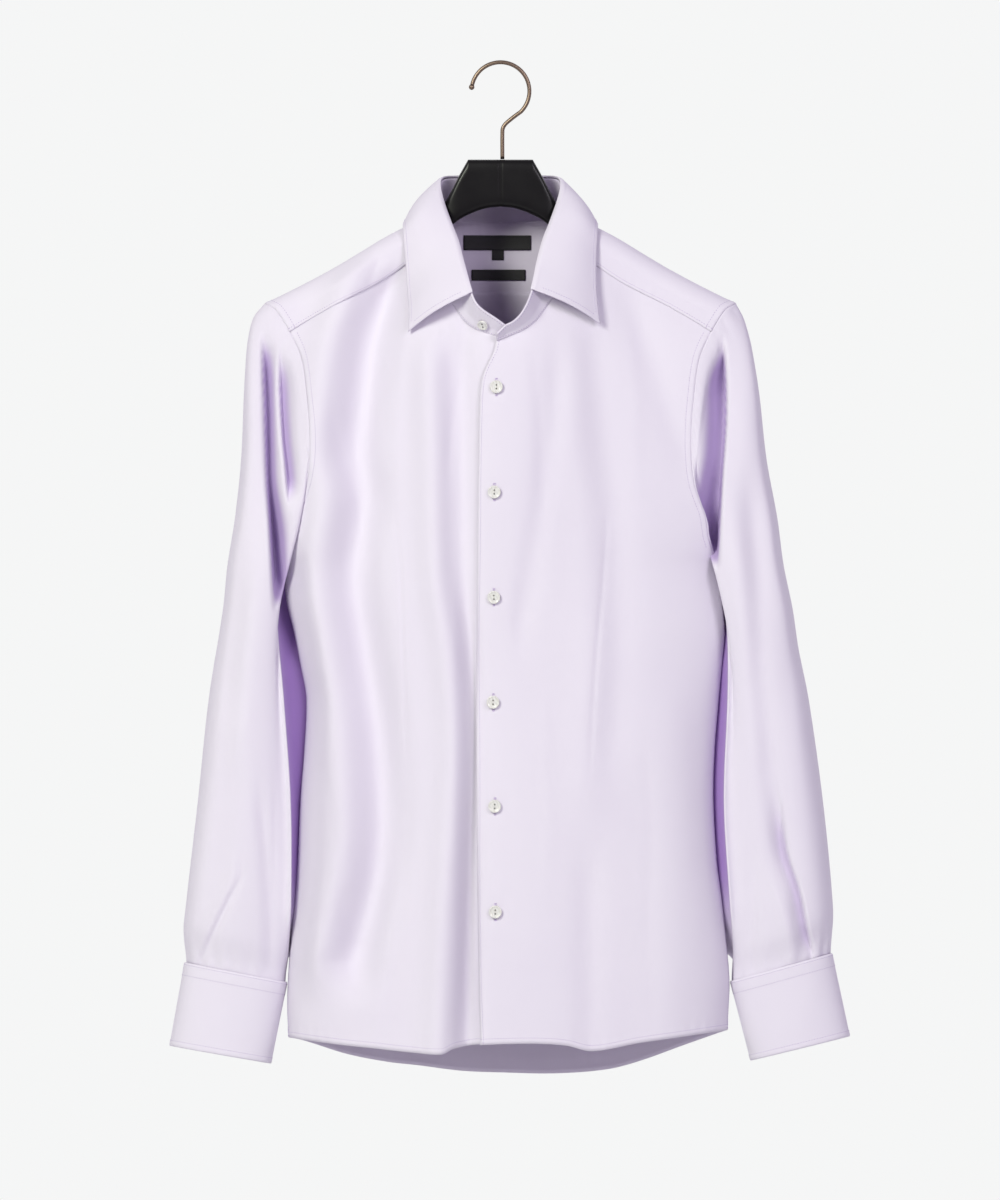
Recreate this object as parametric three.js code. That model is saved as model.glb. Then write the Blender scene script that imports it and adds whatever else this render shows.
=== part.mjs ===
// A long sleeve dress shirt on a shaped hanger with a wire hook.
// Millimetres, +Z up. The origin is the inner top of the hook.
// The shirt's front faces -Y, so the wearer's left side is at +X.
import * as THREE from 'three';

// Thickness of each kind of wall, and the clearance left at every seam.
const CLOTH = 1.4;
const COLLAR_CLOTH = 2.0;
const CUFF_CLOTH = 2.0;
const LABEL_CLOTH = 1.0;
const SEAM_GAP = 0.3;
const SEAM_INSET = 0.4;
const LAP = 3;

// Shoulders: the round of the cloth over the hanger's arms and its slope outwards below them.
const ARM_RADIUS = 18;
const ARM_QUARTER = ARM_RADIUS * Math.PI / 2;
const FRONT_SLOPE = 0.22;
const BACK_SLOPE = 0.09;
const FRONT_FULL = 64;
const BACK_FULL = 32;
const CHEST = 26;
const CHEST_WIDTH = 80;
const CHEST_START = 90;
const CHEST_FADE = { low: -560, high: -240, left: 0.3 };
const PLACKET_STIFF = 0.85;
const PLACKET_MIDDLE = -4;
const PLACKET_HALF = 15;
const NAPE = 32;
const NAPE_WIDTH = 62;
const NAPE_FADE = { low: -420, high: -140, left: 0.4 };
// The right front sinks by the lap between these places, under the left one.
const LAP_FROM = -42;
const LAP_TO = -27;
const SIDE_POWER = 3.0;
const SIDE_ROUND = 2.1;
const SIDE_START = 40;
const SIDE_END = 190;
const HEM_Z = -860;
// Folds end before the side seams and fade at their ends over these heights.
const FOLDS_END = 0.86;
const FOLD_FADE = { hem: -850, below: 45, above: 15, start: 30 };
const FOLDS_BELOW_RIDGE = 50;

// Ridge of the shoulder: height over the distance from the centre.
const RIDGE = [
  { x: 0, z: -122 }, { x: 30, z: -126 }, { x: 63, z: -135 }, { x: 85, z: -144.5 },
  { x: 104, z: -154.5 }, { x: 125, z: -167.3 }, { x: 147, z: -180.4 }, { x: 172, z: -193.8 },
  { x: 198, z: -206.8 }, { x: 207, z: -210.5 },
];

// Side edges of the body. Above the armpit they are where the section would close.
const BODY_EDGE = [
  { z: -210, right: 262, left: 262 }, { z: -300, right: 238, left: 238 },
  { z: -370, right: 224, left: 224 }, { z: -400, right: 213, left: 213 },
  { z: -425, right: 200, left: 200 }, { z: -442, right: 192, left: 192 },
  { z: -475, right: 188, left: 196 }, { z: -500, right: 182, left: 198 },
  { z: -530, right: 176, left: 196 }, { z: -559, right: 171, left: 193 },
  { z: -607, right: 173, left: 189 }, { z: -648, right: 176.5, left: 188 },
  { z: -703, right: 179, left: 191 }, { z: -733, right: 181, left: 195 },
  { z: -770, right: 184.5, left: 198.5 }, { z: -807, right: 187, left: 201.5 },
  { z: -835, right: 187.5, left: 200.5 }, { z: -860, right: 186, left: 199 },
];

// Armhole seam from the shoulder tip to the armpit.
const ARMHOLE = [
  { x: 207, z: -211 }, { x: 199, z: -215.5 }, { x: 189, z: -230 }, { x: 186, z: -236 },
  { x: 178, z: -252 }, { x: 174, z: -266 }, { x: 171, z: -290 }, { x: 168.5, z: -320 },
  { x: 168.5, z: -348 }, { x: 171, z: -370 }, { x: 176, z: -386 }, { x: 181, z: -400 },
  { x: 184, z: -420 }, { x: 191, z: -441 },
];
const ARMHOLE_GAP = 1.6;
const ARMPIT_GAP = 1.6;
const TIP = { x: 207, z: -211 };
const ARMPIT = { x: 191, z: -441 };

// Seams of the yoke and of the neck. q runs over the ridge, below 0 in front.
const YOKE_SEAM = [
  { x: 60.5, z: -160 }, { x: 85, z: -178 }, { x: 106, z: -192 }, { x: 127, z: -203 },
  { x: 147, z: -213 }, { x: 168, z: -225 }, { x: 186, z: -236 },
];
const NECK_FRONT = [
  { x: 25, z: -230 }, { x: 44, z: -205 }, { x: 57, z: -178 }, { x: 60.5, z: -160 },
];
const NECK_OVER = [
  { x: 63, q: -18 }, { x: 63.5, q: 0 }, { x: 60, q: 9 }, { x: 50, q: 16 },
  { x: 30, q: 23.7 }, { x: 0, q: 28.3 },
];
const BACK_YOKE_Z = -203;
const BACK_YOKE_DROP = 40;
const BACK_STEPS = 20;
const NECK_EDGE_GAP = 2;

// Rows of faces down each armhole's front and back, over the yoke, and down each side seam.
const ARM_ROWS = 7;
const YOKE_ROWS = 6;
const SIDE_ROWS = 9;
const SEAM_STEPS = 11;
const NECK_STEPS = 6;
// Columns of the fronts and the back stand closer together towards the side seams.
const FRONT_CROWDING = 1.35;
const BACK_CROWDING = 1.3;
// Clearances of the corners at the neck.
const NECK_CORNER_DOWN = 0.7;
const SEAM_CORNER = { x: 4, z: 3.2, q: 1.5 };
const SLEEVE_SIDES = 2 * ARM_ROWS + YOKE_ROWS;

// Front edges: the wearer's left front lies over the right one.
const OVER_EDGE = [
  { z: -243, x: -3.6 }, { z: -254, x: -6 }, { z: -262, x: -10 }, { z: -276, x: -16 },
  { z: -300, x: -18.5 }, { z: -400, x: -20 }, { z: -600, x: -21 }, { z: -800, x: -19 },
  { z: -863, x: -17.6 },
];
const UNDER_EDGE_X = 14;
const NECK_FRONT_Z = -243.5;

// Hems, from the wearer's right side seam to the left one.
const RIGHT_HEM = [
  { x: -186, z: -857 }, { x: -142, z: -863 }, { x: -112, z: -866 }, { x: -81, z: -869.4 },
  { x: -51, z: -871.2 }, { x: -42, z: -866.5 }, { x: -18, z: -862.4 }, { x: 14, z: -861 },
];
const LEFT_HEM = [
  { x: -17.6, z: -863 }, { x: 11.5, z: -862 }, { x: 35, z: -862 }, { x: 58.5, z: -863.8 },
  { x: 80.5, z: -868.6 }, { x: 121.5, z: -861.5 }, { x: 160, z: -856 }, { x: 199, z: -850.5 },
];
const BACK_HEM = [
  { x: -186, z: -857 }, { x: -173, z: -860 }, { x: -134, z: -872.4 }, { x: -100, z: -879 },
  { x: -74, z: -882 }, { x: -36, z: -887 }, { x: 0, z: -888.6 }, { x: 45, z: -889.5 },
  { x: 93, z: -885.8 }, { x: 121, z: -878.8 }, { x: 160, z: -864.6 }, { x: 199, z: -850.5 },
];

// Main folds of the fronts: a ridge (height above 0) or trough along a path of x over z.
const FRONT_FOLDS = [
  { height: 9, width: 18, path: [[-128, -176], [-151, -240], [-160, -300], [-164, -340],
    [-158, -383], [-166, -449], [-158, -515], [-147, -590], [-144, -691], [-166, -790]] },
  { height: -12, width: 20, path: [[-88, -176], [-111, -240], [-120, -300], [-124, -340],
    [-119, -383], [-127, -449], [-118, -515], [-107, -590], [-104, -691], [-126, -790]] },
  { height: 7, width: 14, path: [[-64, -245], [-62, -340], [-58, -449], [-48, -515],
    [-42, -603], [-50, -735], [-56, -868]] },
  { height: -5.5, width: 13, path: [[-38, -245], [-36, -340], [-34, -449], [-24, -515],
    [-14, -603], [-22, -735], [-30, -868]] },
  { height: -2.4, width: 12, path: [[52, -251], [43, -339], [30, -427], [18, -493]] },
  { height: -2.6, width: 16, path: [[80, -233], [92, -339], [98, -392], [104, -515],
    [98, -600]] },
  { height: 2.2, width: 16, path: [[60, -233], [68, -339], [76, -400], [80, -515],
    [76, -640]] },
  { height: -2.6, width: 13, path: [[78, -700], [78, -780], [79, -870]] },
  { height: -3, width: 15, path: [[112, -200], [142, -286], [163, -345]] },
  { height: 2.2, width: 22, path: [[150, -560], [152, -680], [150, -800], [146, -860]] },
];

// Folds of the back, which hangs the same way.
const BACK_FOLDS = [
  { height: 5, width: 20, path: [[-140, -260], [-132, -420], [-118, -640], [-126, -880]] },
  { height: -5, width: 18, path: [[-104, -250], [-100, -420], [-84, -640], [-92, -880]] },
  { height: 4.5, width: 18, path: [[-56, -300], [-50, -480], [-44, -690], [-52, -880]] },
  { height: -4, width: 18, path: [[-18, -330], [-14, -520], [-6, -720], [-12, -880]] },
  { height: 4.5, width: 20, path: [[34, -300], [28, -470], [36, -690], [30, -880]] },
  { height: -5, width: 18, path: [[70, -260], [74, -430], [80, -640], [72, -880]] },
  { height: 5.5, width: 20, path: [[118, -250], [120, -430], [116, -650], [124, -880]] },
];

// Sleeves: outer and inner edge and half depth at each height.
const SLEEVE_RIGHT = [
  { z: -211, outer: 207, inner: 205, deep: 20 }, { z: -233, outer: 217, inner: 187, deep: 27 },
  { z: -250, outer: 221, inner: 179, deep: 31 }, { z: -290, outer: 223.5, inner: 171, deep: 40 },
  { z: -348, outer: 228, inner: 170, deep: 45 }, { z: -400, outer: 233.5, inner: 182, deep: 47 },
  { z: -441, outer: 240, inner: 194, deep: 46 }, { z: -480, outer: 244, inner: 197, deep: 44 },
  { z: -559, outer: 256.5, inner: 191, deep: 40 }, { z: -648, outer: 266, inner: 185, deep: 38 },
  { z: -735, outer: 276, inner: 184.5, deep: 35 }, { z: -775, outer: 280, inner: 186.5, deep: 31 },
  { z: -808, outer: 279, inner: 189, deep: 25 },
];
const SLEEVE_LEFT = [
  { z: -211, outer: 205, inner: 203, deep: 20 }, { z: -233, outer: 214, inner: 187, deep: 27 },
  { z: -250, outer: 219, inner: 179, deep: 31 }, { z: -290, outer: 226, inner: 171, deep: 40 },
  { z: -348, outer: 234, inner: 170, deep: 45 }, { z: -400, outer: 243.5, inner: 182, deep: 47 },
  { z: -441, outer: 249, inner: 195.5, deep: 46 }, { z: -480, outer: 257, inner: 200.8, deep: 44 },
  { z: -514, outer: 262, inner: 201.8, deep: 41 }, { z: -559, outer: 271, inner: 200.2, deep: 40 },
  { z: -648, outer: 283.5, inner: 197, deep: 38 }, { z: -735, outer: 292, inner: 202, deep: 35 },
  { z: -775, outer: 293, inner: 205, deep: 31 }, { z: -808, outer: 292, inner: 205, deep: 25 },
];
// The hidden back layer of each sleeve reaches this far behind the body's edge.
const SLEEVE_BEHIND = [
  { z: -430, reach: 0 }, { z: -500, reach: 16 }, { z: -600, reach: 22 }, { z: -700, reach: 14 },
  { z: -780, reach: 0 },
];
const SLEEVE_FOLDS = [
  { height: -9, width: 11, path: [[196, -246], [200, -295], [200, -365], [198, -409],
    [200, -483], [206, -560]] },
  { height: 5, width: 12, path: [[216, -290], [219, -365], [222, -480], [230, -600]] },
  { height: -5, width: 14, path: [[226, -470], [234, -560], [250, -690], [262, -770]] },
  { height: 5, width: 13, path: [[250, -560], [262, -660], [272, -760]] },
  { height: -4.5, width: 10, path: [[214, -690], [222, -735], [230, -790]] },
];

// Cuffs: corners of the front view, outer and inner, top and bottom, and half depths.
const CUFF_RIGHT = { outerTop: [277.5, -791], innerTop: [188.5, -808.3], outerLow: [290.8, -864.5],
  innerLow: [202.8, -880] };
const CUFF_LEFT = { outerTop: [291.4, -783], innerTop: [203, -807.4], outerLow: [307.1, -856.2],
  innerLow: [221, -877.4] };
const CUFF_DEEP_TOP = 26;
const CUFF_DEEP_LOW = 27;

// Collar: top edge of the stand on each side, from the front end to the back.
const STAND_TOP_BACK = [
  { x: 33, y: -50, z: -176 }, { x: 38.5, y: -36, z: -156 }, { x: 44.5, y: -25, z: -141 },
  { x: 50.5, y: -11, z: -124 }, { x: 53, y: 2, z: -110 }, { x: 51, y: 15, z: -102 },
  { x: 38, y: 33, z: -100 }, { x: 0, y: 43, z: -100 },
];
const STAND_TOP_RIGHT = [
  { x: 6, y: -65.5, z: -231 }, { x: -4.5, y: -68.5, z: -223.5 }, { x: -15.7, y: -72, z: -216 },
  { x: -21.5, y: -73, z: -210 }, { x: -27, y: -65, z: -196 },
];
const STAND_TOP_LEFT = [
  { x: -3.4, y: -71.5, z: -238 }, { x: 4.5, y: -72.5, z: -230.1 }, { x: 10.6, y: -73, z: -227 },
  { x: 17, y: -73.5, z: -221 }, { x: 23.5, y: -73.5, z: -210 }, { x: 28.5, y: -65, z: -195 },
];
const UNDER_NECK_X = 8;
const OVER_NECK_X = -3.4;
const NECK_END_OUT = 0.4;
const STAND_ALONG = 36;
const STAND_ROWS = 2;
const LEAF_ALONG = 32;
const LEAF_ROWS = 4;
// The leaf starts at these shares of the stand's length and its outer edge ends in two points.
const LEAF_START = 0.092;
const LEAF_END = 0.895;
const LEAF_FORWARD = 0.045;
const LEAF_EDGE_FRONT = [
  { x: 81, z: -236, off: 7 }, { x: 80.2, z: -218, off: 7.5 }, { x: 81.5, z: -200, off: 7 },
  { x: 83.5, z: -172, off: 5.5 },
];
const LEAF_EDGE_OVER = [
  { x: 85.2, q: -14 }, { x: 84.5, q: 4 }, { x: 76, q: 18 }, { x: 45, q: 31 }, { x: 0, q: 40 },
];
const LEAF_CLEAR = 3.6;
const NECK_CENTRE_Y = 20;
const LEAF_BOW = 5;
// How far the leaf rises over the stand and stands out from it where it rolls over.
const LEAF_ROLL = [{ rise: 1.7, away: 0 }, { rise: 1.3, away: 2.8 }];
const LEAF_HANG = { rise: -1.6, away: 4.3 };
const STAND_UPPER = 0.7;
const STAND_STEP = 0.01;

// Buttons on the front, with the collar's one on the wearer's right stand.
const BUTTON_RADIUS = 5.75;
const BUTTON_THICK = 2.6;
const BUTTON_RIM = 0.5;
const BUTTON_SIDES = 12;
const BUTTON_FOOT = { inside: 0.6, up: 0.8 };
const BUTTON_EDGE = { outer: 0.3, inner: 1.2, dish: 1.8 };
const BUTTON_OFF = 0.15;
const FRONT_BUTTONS = [
  { x: -3.5, z: -284.7 }, { x: -5.3, z: -377 }, { x: -5.7, z: -469.5 }, { x: -6.2, z: -561.9 },
  { x: -4.8, z: -653.4 }, { x: -4.4, z: -746.2 },
];
const COLLAR_BUTTON = { x: -14.5, z: -228.8 };
const COLLAR_BUTTON_RADIUS = 4.8;
const CUFF_BUTTON_RADIUS = 4.8;

// Bare labels inside the back of the yoke.
const LABELS = [
  { name: 'neck_label', left: -32.3, right: 26.7, top: -150.2, bottom: -163.2, across: 5 },
  { name: 'size_label', left: -7.5, right: 2.9, top: -163.9, bottom: -172, across: 2 },
  { name: 'lower_label', left: -25.3, right: 21.9, top: -180.4, bottom: -189.9, across: 4 },
];

const LABEL_HANG = 0.9;

// Placket on the hidden back of each sleeve.
const PLACKET = { column: 13, width: 22, top: 33, bottom: 45, step: 3, out: 2.5, aside: 0.5 };
const SLEEVE_ROWS = 16;
const FINE_ROWS = 48;
// Share of the way down by which a sleeve has left the armhole: faster at its top and armpit.
const LEAVING = { most: 4, top: 40, topWidth: 0.07, armpit: 30, armpitWidth: 0.06 };
// The sleeve's sides are drawn in behind the body between these shares round its section.
const DRAWN_IN = { facingFrom: 0.1, facingTo: 0.7, wideFrom: 0.3, wideTo: 0.8 };
const SLEEVE_ROUND = 0.85;
const SLEEVE_IN_CUFF = 2.4;
const SLEEVE_ABOVE_CUFF = 1.2;
const SLEEVE_TO_CUFF = 0.93;
const SLEEVE_FOLDS_FROM = 0.12;
const SLEEVE_FOLDS_END = 0.95;
const CUFF_ROUND = 0.8;
const CUFF_SIDES = 20;
const CUFF_ROWS = 3;

// Hanger: upper and lower edge and half depth over the distance from the centre.
const HANGER = [
  { x: 0, top: -84, low: -125.4, deep: 10.5, square: 0.5 },
  { x: 14, top: -84, low: -127.2, deep: 10.5, square: 0.5 },
  { x: 28.5, top: -84, low: -132.6, deep: 10.5, square: 0.5 },
  { x: 36, top: -99, low: -136.6, deep: 10.5, square: 0.5 },
  { x: 42, top: -112, low: -141.2, deep: 10, square: 0.55 },
  { x: 49, top: -127.5, low: -147.5, deep: 8.5, square: 0.7 },
  { x: 56, top: -136, low: -152.5, deep: 7.5, square: 0.9 },
  { x: 66, top: -144, low: -160, deep: 7.5, square: 1 },
  { x: 85, top: -151, low: -175, deep: 12, square: 1 },
  { x: 125, top: -171.3, low: -200, deep: 14, square: 1 },
  { x: 172, top: -197.5, low: -226, deep: 13.5, square: 1 },
  { x: 188, top: -207, low: -231, deep: 11, square: 1 },
];
const HANGER_SIDES = 14;

// Hook of wire with a small ball on its free end.
const WIRE = 3.6;
const WIRE_SIDES = 8;
const HOOK_RADIUS = WIRE / 2 + 23.7;
const HOOK_CENTRE_Z = WIRE / 2 - HOOK_RADIUS;
const HOOK_FREE_ANGLE = 168;
const HOOK_LAST_ANGLE = -46;
const STEM_X = 1.7;
const STEM_BEND_Z = -55;
const STEM_END_Z = -83.6;
const BALL_RADIUS = 2.5;

// Colours and finishes.
const CLOTH_LOOK = { color: 0xded6e6, roughness: 0.72, metalness: 0 };
const BUTTON_LOOK = { color: 0xe9e7e2, roughness: 0.35, metalness: 0 };
const LABEL_LOOK = { color: 0x1d1b20, roughness: 0.8, metalness: 0 };
const HANGER_LOOK = { color: 0x1d1b1c, roughness: 0.4, metalness: 0 };
const HOOK_LOOK = { color: 0xa38e7d, roughness: 0.35, metalness: 0.9 };

const clamp = (value, low, high) => Math.min(Math.max(value, low), high);
const mix = (a, b, share) => a + (b - a) * share;
const point = (x, y, z) => new THREE.Vector3(x, y, z);

function ease(from, to, value) {
  const share = clamp((value - from) / (to - from), 0, 1);
  return share * share * (3 - 2 * share);
}

// A smooth function through the rows of a table.
function through(rows, key, value) {
  const knots = rows.map(row => [row[key], row[value]]).sort((a, b) => a[0] - b[0]);
  const last = knots.length - 1;
  const slope = (i) => {
    const [before, after] = [knots[Math.max(i - 1, 0)], knots[Math.min(i + 1, last)]];
    return (after[1] - before[1]) / (after[0] - before[0]);
  };
  return (at) => {
    const where = clamp(at, knots[0][0], knots[last][0]);
    let i = 0;
    while (i < last - 1 && where > knots[i + 1][0]) i += 1;
    const step = knots[i + 1][0] - knots[i][0];
    const t = (where - knots[i][0]) / step;
    const rise = knots[i + 1][1] - knots[i][1];
    const bend = (1 - t) * (slope(i) * step - rise) - t * (slope(i + 1) * step - rise);
    return knots[i][1] + t * rise + t * (1 - t) * bend;
  };
}

const ridgeOver = through(RIDGE, 'x', 'z');
const edgeRight = through(BODY_EDGE, 'z', 'right');
const edgeLeft = through(BODY_EDGE, 'z', 'left');
const armholeX = through(ARMHOLE, 'z', 'x');
const overEdge = through(OVER_EDGE, 'z', 'x');
const ridge = x => ridgeOver(Math.abs(x));
const bodyEdge = (x, z) => (x < 0 ? edgeRight(z) : edgeLeft(z));

// The summed height of a table of folds at one place.
function foldHeight(folds, x, z) {
  let sum = 0;
  for (const fold of folds) {
    const rows = fold.rows ?? fold.path.map(([px, pz]) => ({ x: px, z: pz }));
    fold.rows = rows;
    fold.line = fold.line ?? through(rows, 'z', 'x');
    const high = rows[0].z;
    const low = rows.at(-1).z;
    const fade = low < FOLD_FADE.hem ? 1 : ease(low - FOLD_FADE.below, low + FOLD_FADE.above, z);
    const away = (x - fold.line(z)) / fold.width;
    const start = 1 - ease(high - FOLD_FADE.start, high + FOLD_FADE.start, z);
    sum += fold.height * Math.exp(-away * away) * fade * start;
  }
  return sum;
}

// Depth of the cloth from the plane of the hanger, at a drop below the ridge.
function depth(x, z, slope, full, bulge) {
  const drop = Math.max(ridge(x) - z, 0);
  const inner = Math.min(drop, ARM_RADIUS);
  const round = Math.sqrt(inner * (2 * ARM_RADIUS - inner));
  const below = Math.max(drop - ARM_RADIUS, 0);
  const room = full - ARM_RADIUS;
  const out = round + room * (1 - Math.exp(-below * slope / room));
  const share = clamp(Math.abs(x) / bodyEdge(x, z), 0, 1);
  const side = (1 - share ** SIDE_POWER) ** (1 / SIDE_ROUND);
  const closing = mix(1, side, ease(SIDE_START, SIDE_END, drop));
  return (out + bulge * Math.sin(inner / ARM_RADIUS * Math.PI / 2)) * closing;
}

function frontY(x, z) {
  const kept = mix(CHEST_FADE.left, 1, ease(CHEST_FADE.low, CHEST_FADE.high, z));
  const bulge = CHEST * Math.exp(-((x / CHEST_WIDTH) ** 2)) * kept
    * ease(0, CHEST_START, ridge(x) - z);
  const share = Math.abs(x) / bodyEdge(x, z);
  const stiff = PLACKET_STIFF * Math.exp(-(((x - PLACKET_MIDDLE) / PLACKET_HALF) ** 4));
  const fold = foldHeight(FRONT_FOLDS, x, z) * (1 - ease(FOLDS_END, 1, share)) * (1 - stiff)
    * ease(0, FOLDS_BELOW_RIDGE, ridge(x) - z);
  return -depth(x, z, FRONT_SLOPE, FRONT_FULL, bulge) - fold;
}

function backY(x, z) {
  const kept = mix(NAPE_FADE.left, 1, ease(NAPE_FADE.low, NAPE_FADE.high, z));
  const bulge = NAPE * kept * Math.exp(-((x / NAPE_WIDTH) ** 2));
  const share = Math.abs(x) / bodyEdge(x, z);
  const fold = foldHeight(BACK_FOLDS, x, z) * (1 - ease(FOLDS_END, 1, share));
  return depth(x, z, BACK_SLOPE, BACK_FULL, bulge) + fold;
}

// The signed way over the ridge and the drop that it stands for.
function dropOf(q) {
  const way = Math.abs(q);
  if (way < ARM_QUARTER) return ARM_RADIUS * (1 - Math.cos(way / ARM_RADIUS));
  return ARM_RADIUS + way - ARM_QUARTER;
}

function wayOf(drop) {
  if (drop < ARM_RADIUS) return ARM_RADIUS * Math.acos(1 - drop / ARM_RADIUS);
  return ARM_QUARTER + drop - ARM_RADIUS;
}

function yokePoint(x, q) {
  const z = ridge(x) - dropOf(q);
  return point(x, q < 0 ? frontY(x, z) : backY(x, z), z);
}

// Closed wall on a grid of points, half its thickness to each side.
function wall(grid, thickness, wrap = false) {
  const rows = grid.length;
  const cols = grid[0].length;
  const skins = [[], []];
  const along = new THREE.Vector3();
  const across = new THREE.Vector3();
  for (let i = 0; i < rows; i += 1) {
    for (let j = 0; j < cols; j += 1) {
      const before = wrap ? (j + cols - 1) % cols : Math.max(j - 1, 0);
      const after = wrap ? (j + 1) % cols : Math.min(j + 1, cols - 1);
      across.subVectors(grid[i][after], grid[i][before]);
      along.subVectors(grid[Math.min(i + 1, rows - 1)][j], grid[Math.max(i - 1, 0)][j]);
      const normal = across.clone().cross(along).normalize();
      for (const [k, skin] of skins.entries()) {
        skin.push(grid[i][j].clone().addScaledVector(normal, (0.5 - k) * thickness));
      }
    }
  }
  const faces = [];
  const quad = (a, b, c, d) => faces.push(a, b, c, a, c, d);
  const at = (skin, i, j) => skin * rows * cols + i * cols + (j % cols);
  const spans = wrap ? cols : cols - 1;
  for (let i = 0; i < rows - 1; i += 1) {
    for (let j = 0; j < spans; j += 1) {
      quad(at(0, i, j), at(0, i, j + 1), at(0, i + 1, j + 1), at(0, i + 1, j));
      quad(at(1, i, j), at(1, i + 1, j), at(1, i + 1, j + 1), at(1, i, j + 1));
    }
    if (!wrap) {
      const end = cols - 1;
      quad(at(0, i, 0), at(0, i + 1, 0), at(1, i + 1, 0), at(1, i, 0));
      quad(at(0, i, end), at(1, i, end), at(1, i + 1, end), at(0, i + 1, end));
    }
  }
  const low = rows - 1;
  for (let j = 0; j < spans; j += 1) {
    quad(at(0, 0, j), at(1, 0, j), at(1, 0, j + 1), at(0, 0, j + 1));
    quad(at(0, low, j), at(0, low, j + 1), at(1, low, j + 1), at(1, low, j));
  }
  return solid(skins.flat(), faces);
}

// A geometry from points and triangles, turned so that its faces point out.
function solid(points, faces) {
  let volume = 0;
  for (let i = 0; i < faces.length; i += 3) {
    const [a, b, c] = [points[faces[i]], points[faces[i + 1]], points[faces[i + 2]]];
    volume += a.dot(b.clone().cross(c));
  }
  const order = volume < 0 ? faces.slice().reverse() : faces;
  const geometry = new THREE.BufferGeometry();
  geometry.setAttribute('position',
    new THREE.Float32BufferAttribute(points.flatMap(p => [p.x, p.y, p.z]), 3));
  geometry.setIndex(order);
  return geometry;
}

// Closed solid skinned over rings of points, with flat ends.
function skinned(rings) {
  const sides = rings[0].length;
  const points = rings.flat();
  const faces = [];
  for (let i = 0; i < rings.length - 1; i += 1) {
    for (let j = 0; j < sides; j += 1) {
      const next = (j + 1) % sides;
      const [a, b] = [i * sides + j, i * sides + next];
      faces.push(a, b, b + sides, a, b + sides, a + sides);
    }
  }
  const last = (rings.length - 1) * sides;
  for (let j = 1; j < sides - 1; j += 1) {
    faces.push(0, j + 1, j);
    faces.push(last, last + j, last + j + 1);
  }
  return solid(points, faces);
}

// Points at even steps along a smooth curve.
function steps(points, count) {
  return new THREE.CatmullRomCurve3(points, false, 'centripetal').getSpacedPoints(count);
}

// A patch between four edges that meet at its corners, in two flat coordinates.
function patch(top, low, start, end) {
  const across = top.length - 1;
  const down = start.length - 1;
  const grid = [];
  for (let i = 0; i <= down; i += 1) {
    const v = i / down;
    const row = [];
    for (let j = 0; j <= across; j += 1) {
      const u = j / across;
      const place = (k) => {
        const ruled = mix(top[j][k], low[j][k], v) + mix(start[i][k], end[i][k], u);
        const upper = mix(top[0][k], top[across][k], u);
        const lower = mix(low[0][k], low[across][k], u);
        return ruled - mix(upper, lower, v);
      };
      row.push([place(0), place(1)]);
    }
    grid.push(row);
  }
  return grid;
}

const flat = points => points.map(p => [p.x, p.y]);
const pairs = (rows, side, key) => rows.map(row => point(side * row.x, row[key], 0));

// Rows down the armhole and then down the side seam.
function sideRows(side, top, low) {
  const rows = [];
  for (let i = 0; i <= ARM_ROWS + SIDE_ROWS; i += 1) {
    const below = i > ARM_ROWS;
    const z = below ? mix(ARMPIT.z, low, (i - ARM_ROWS) / SIDE_ROWS) : mix(top, ARMPIT.z, i / ARM_ROWS);
    rows.push([side * (below ? bodyEdge(side, z) : armholeX(z) - SEAM_INSET), z]);
  }
  return rows;
}

// Even steps in x, closer together towards the side seam.
function hemRows(rows, from, to, count) {
  const hem = through(rows, 'x', 'z');
  const out = [];
  for (let j = 0; j <= count; j += 1) {
    const x = mix(from, to, Math.sin(j / count * FRONT_CROWDING) / Math.sin(FRONT_CROWDING));
    out.push([x, hem(x)]);
  }
  return out;
}

// The yoke's front seam at even steps from the neck to the armhole.
function yokeSeam() {
  return steps(YOKE_SEAM.map(row => point(row.x, row.z, 0)), SEAM_STEPS);
}

// One front, from its free edge to the armhole and side seam.
function frontGrid(side) {
  const under = side < 0;
  const start = under ? UNDER_EDGE_X : overEdge(NECK_FRONT_Z);
  const corner = { x: start * side, z: NECK_FRONT_Z - NECK_EDGE_GAP - NECK_CORNER_DOWN };
  const neck = NECK_FRONT.map(row => ({ x: row.x + NECK_EDGE_GAP, z: row.z - NECK_EDGE_GAP }));
  const seam = yokeSeam().map(p => [side * p.x, p.y - SEAM_INSET]);
  neck[neck.length - 1] = { x: seam[1][0] * side - SEAM_CORNER.x, z: seam[1][1] + SEAM_CORNER.z };
  const top = [...flat(steps(pairs([corner, ...neck], side, 'z'), NECK_STEPS)), ...seam.slice(1)];
  const across = top.length - 1;
  const lowX = side * bodyEdge(side, HEM_Z);
  const hemEdge = under ? UNDER_EDGE_X : overEdge(HEM_Z);
  const low = hemRows(under ? RIGHT_HEM : LEFT_HEM, hemEdge, lowX, across);
  const end = sideRows(side, top[across][1], low[across][1]);
  top[across][0] = end[0][0];
  const down = end.length - 1;
  const inner = end.map((_, i) => {
    const z = mix(top[0][1], low[0][1], i / down);
    return [under ? UNDER_EDGE_X : overEdge(z), z];
  });
  inner[0] = top[0];
  inner[down] = low[0];
  return patch(top, low, inner, end).map((row, i) => row.map(([x, z], j) => {
    const lap = under ? LAP * ease(LAP_FROM, LAP_TO, x) : 0;
    const seamSide = j === across && i >= ARM_ROWS;
    return point(x, seamSide ? -SEAM_INSET : Math.min(frontY(x, z) + lap, -SEAM_INSET), z);
  }));
}

const backSeamZ = x => BACK_YOKE_Z - BACK_YOKE_DROP * (x / ARMPIT.x) ** 2;
const BACK_CORNER_X = armholeX(backSeamZ(armholeX(backSeamZ(ARMPIT.x))));

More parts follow.
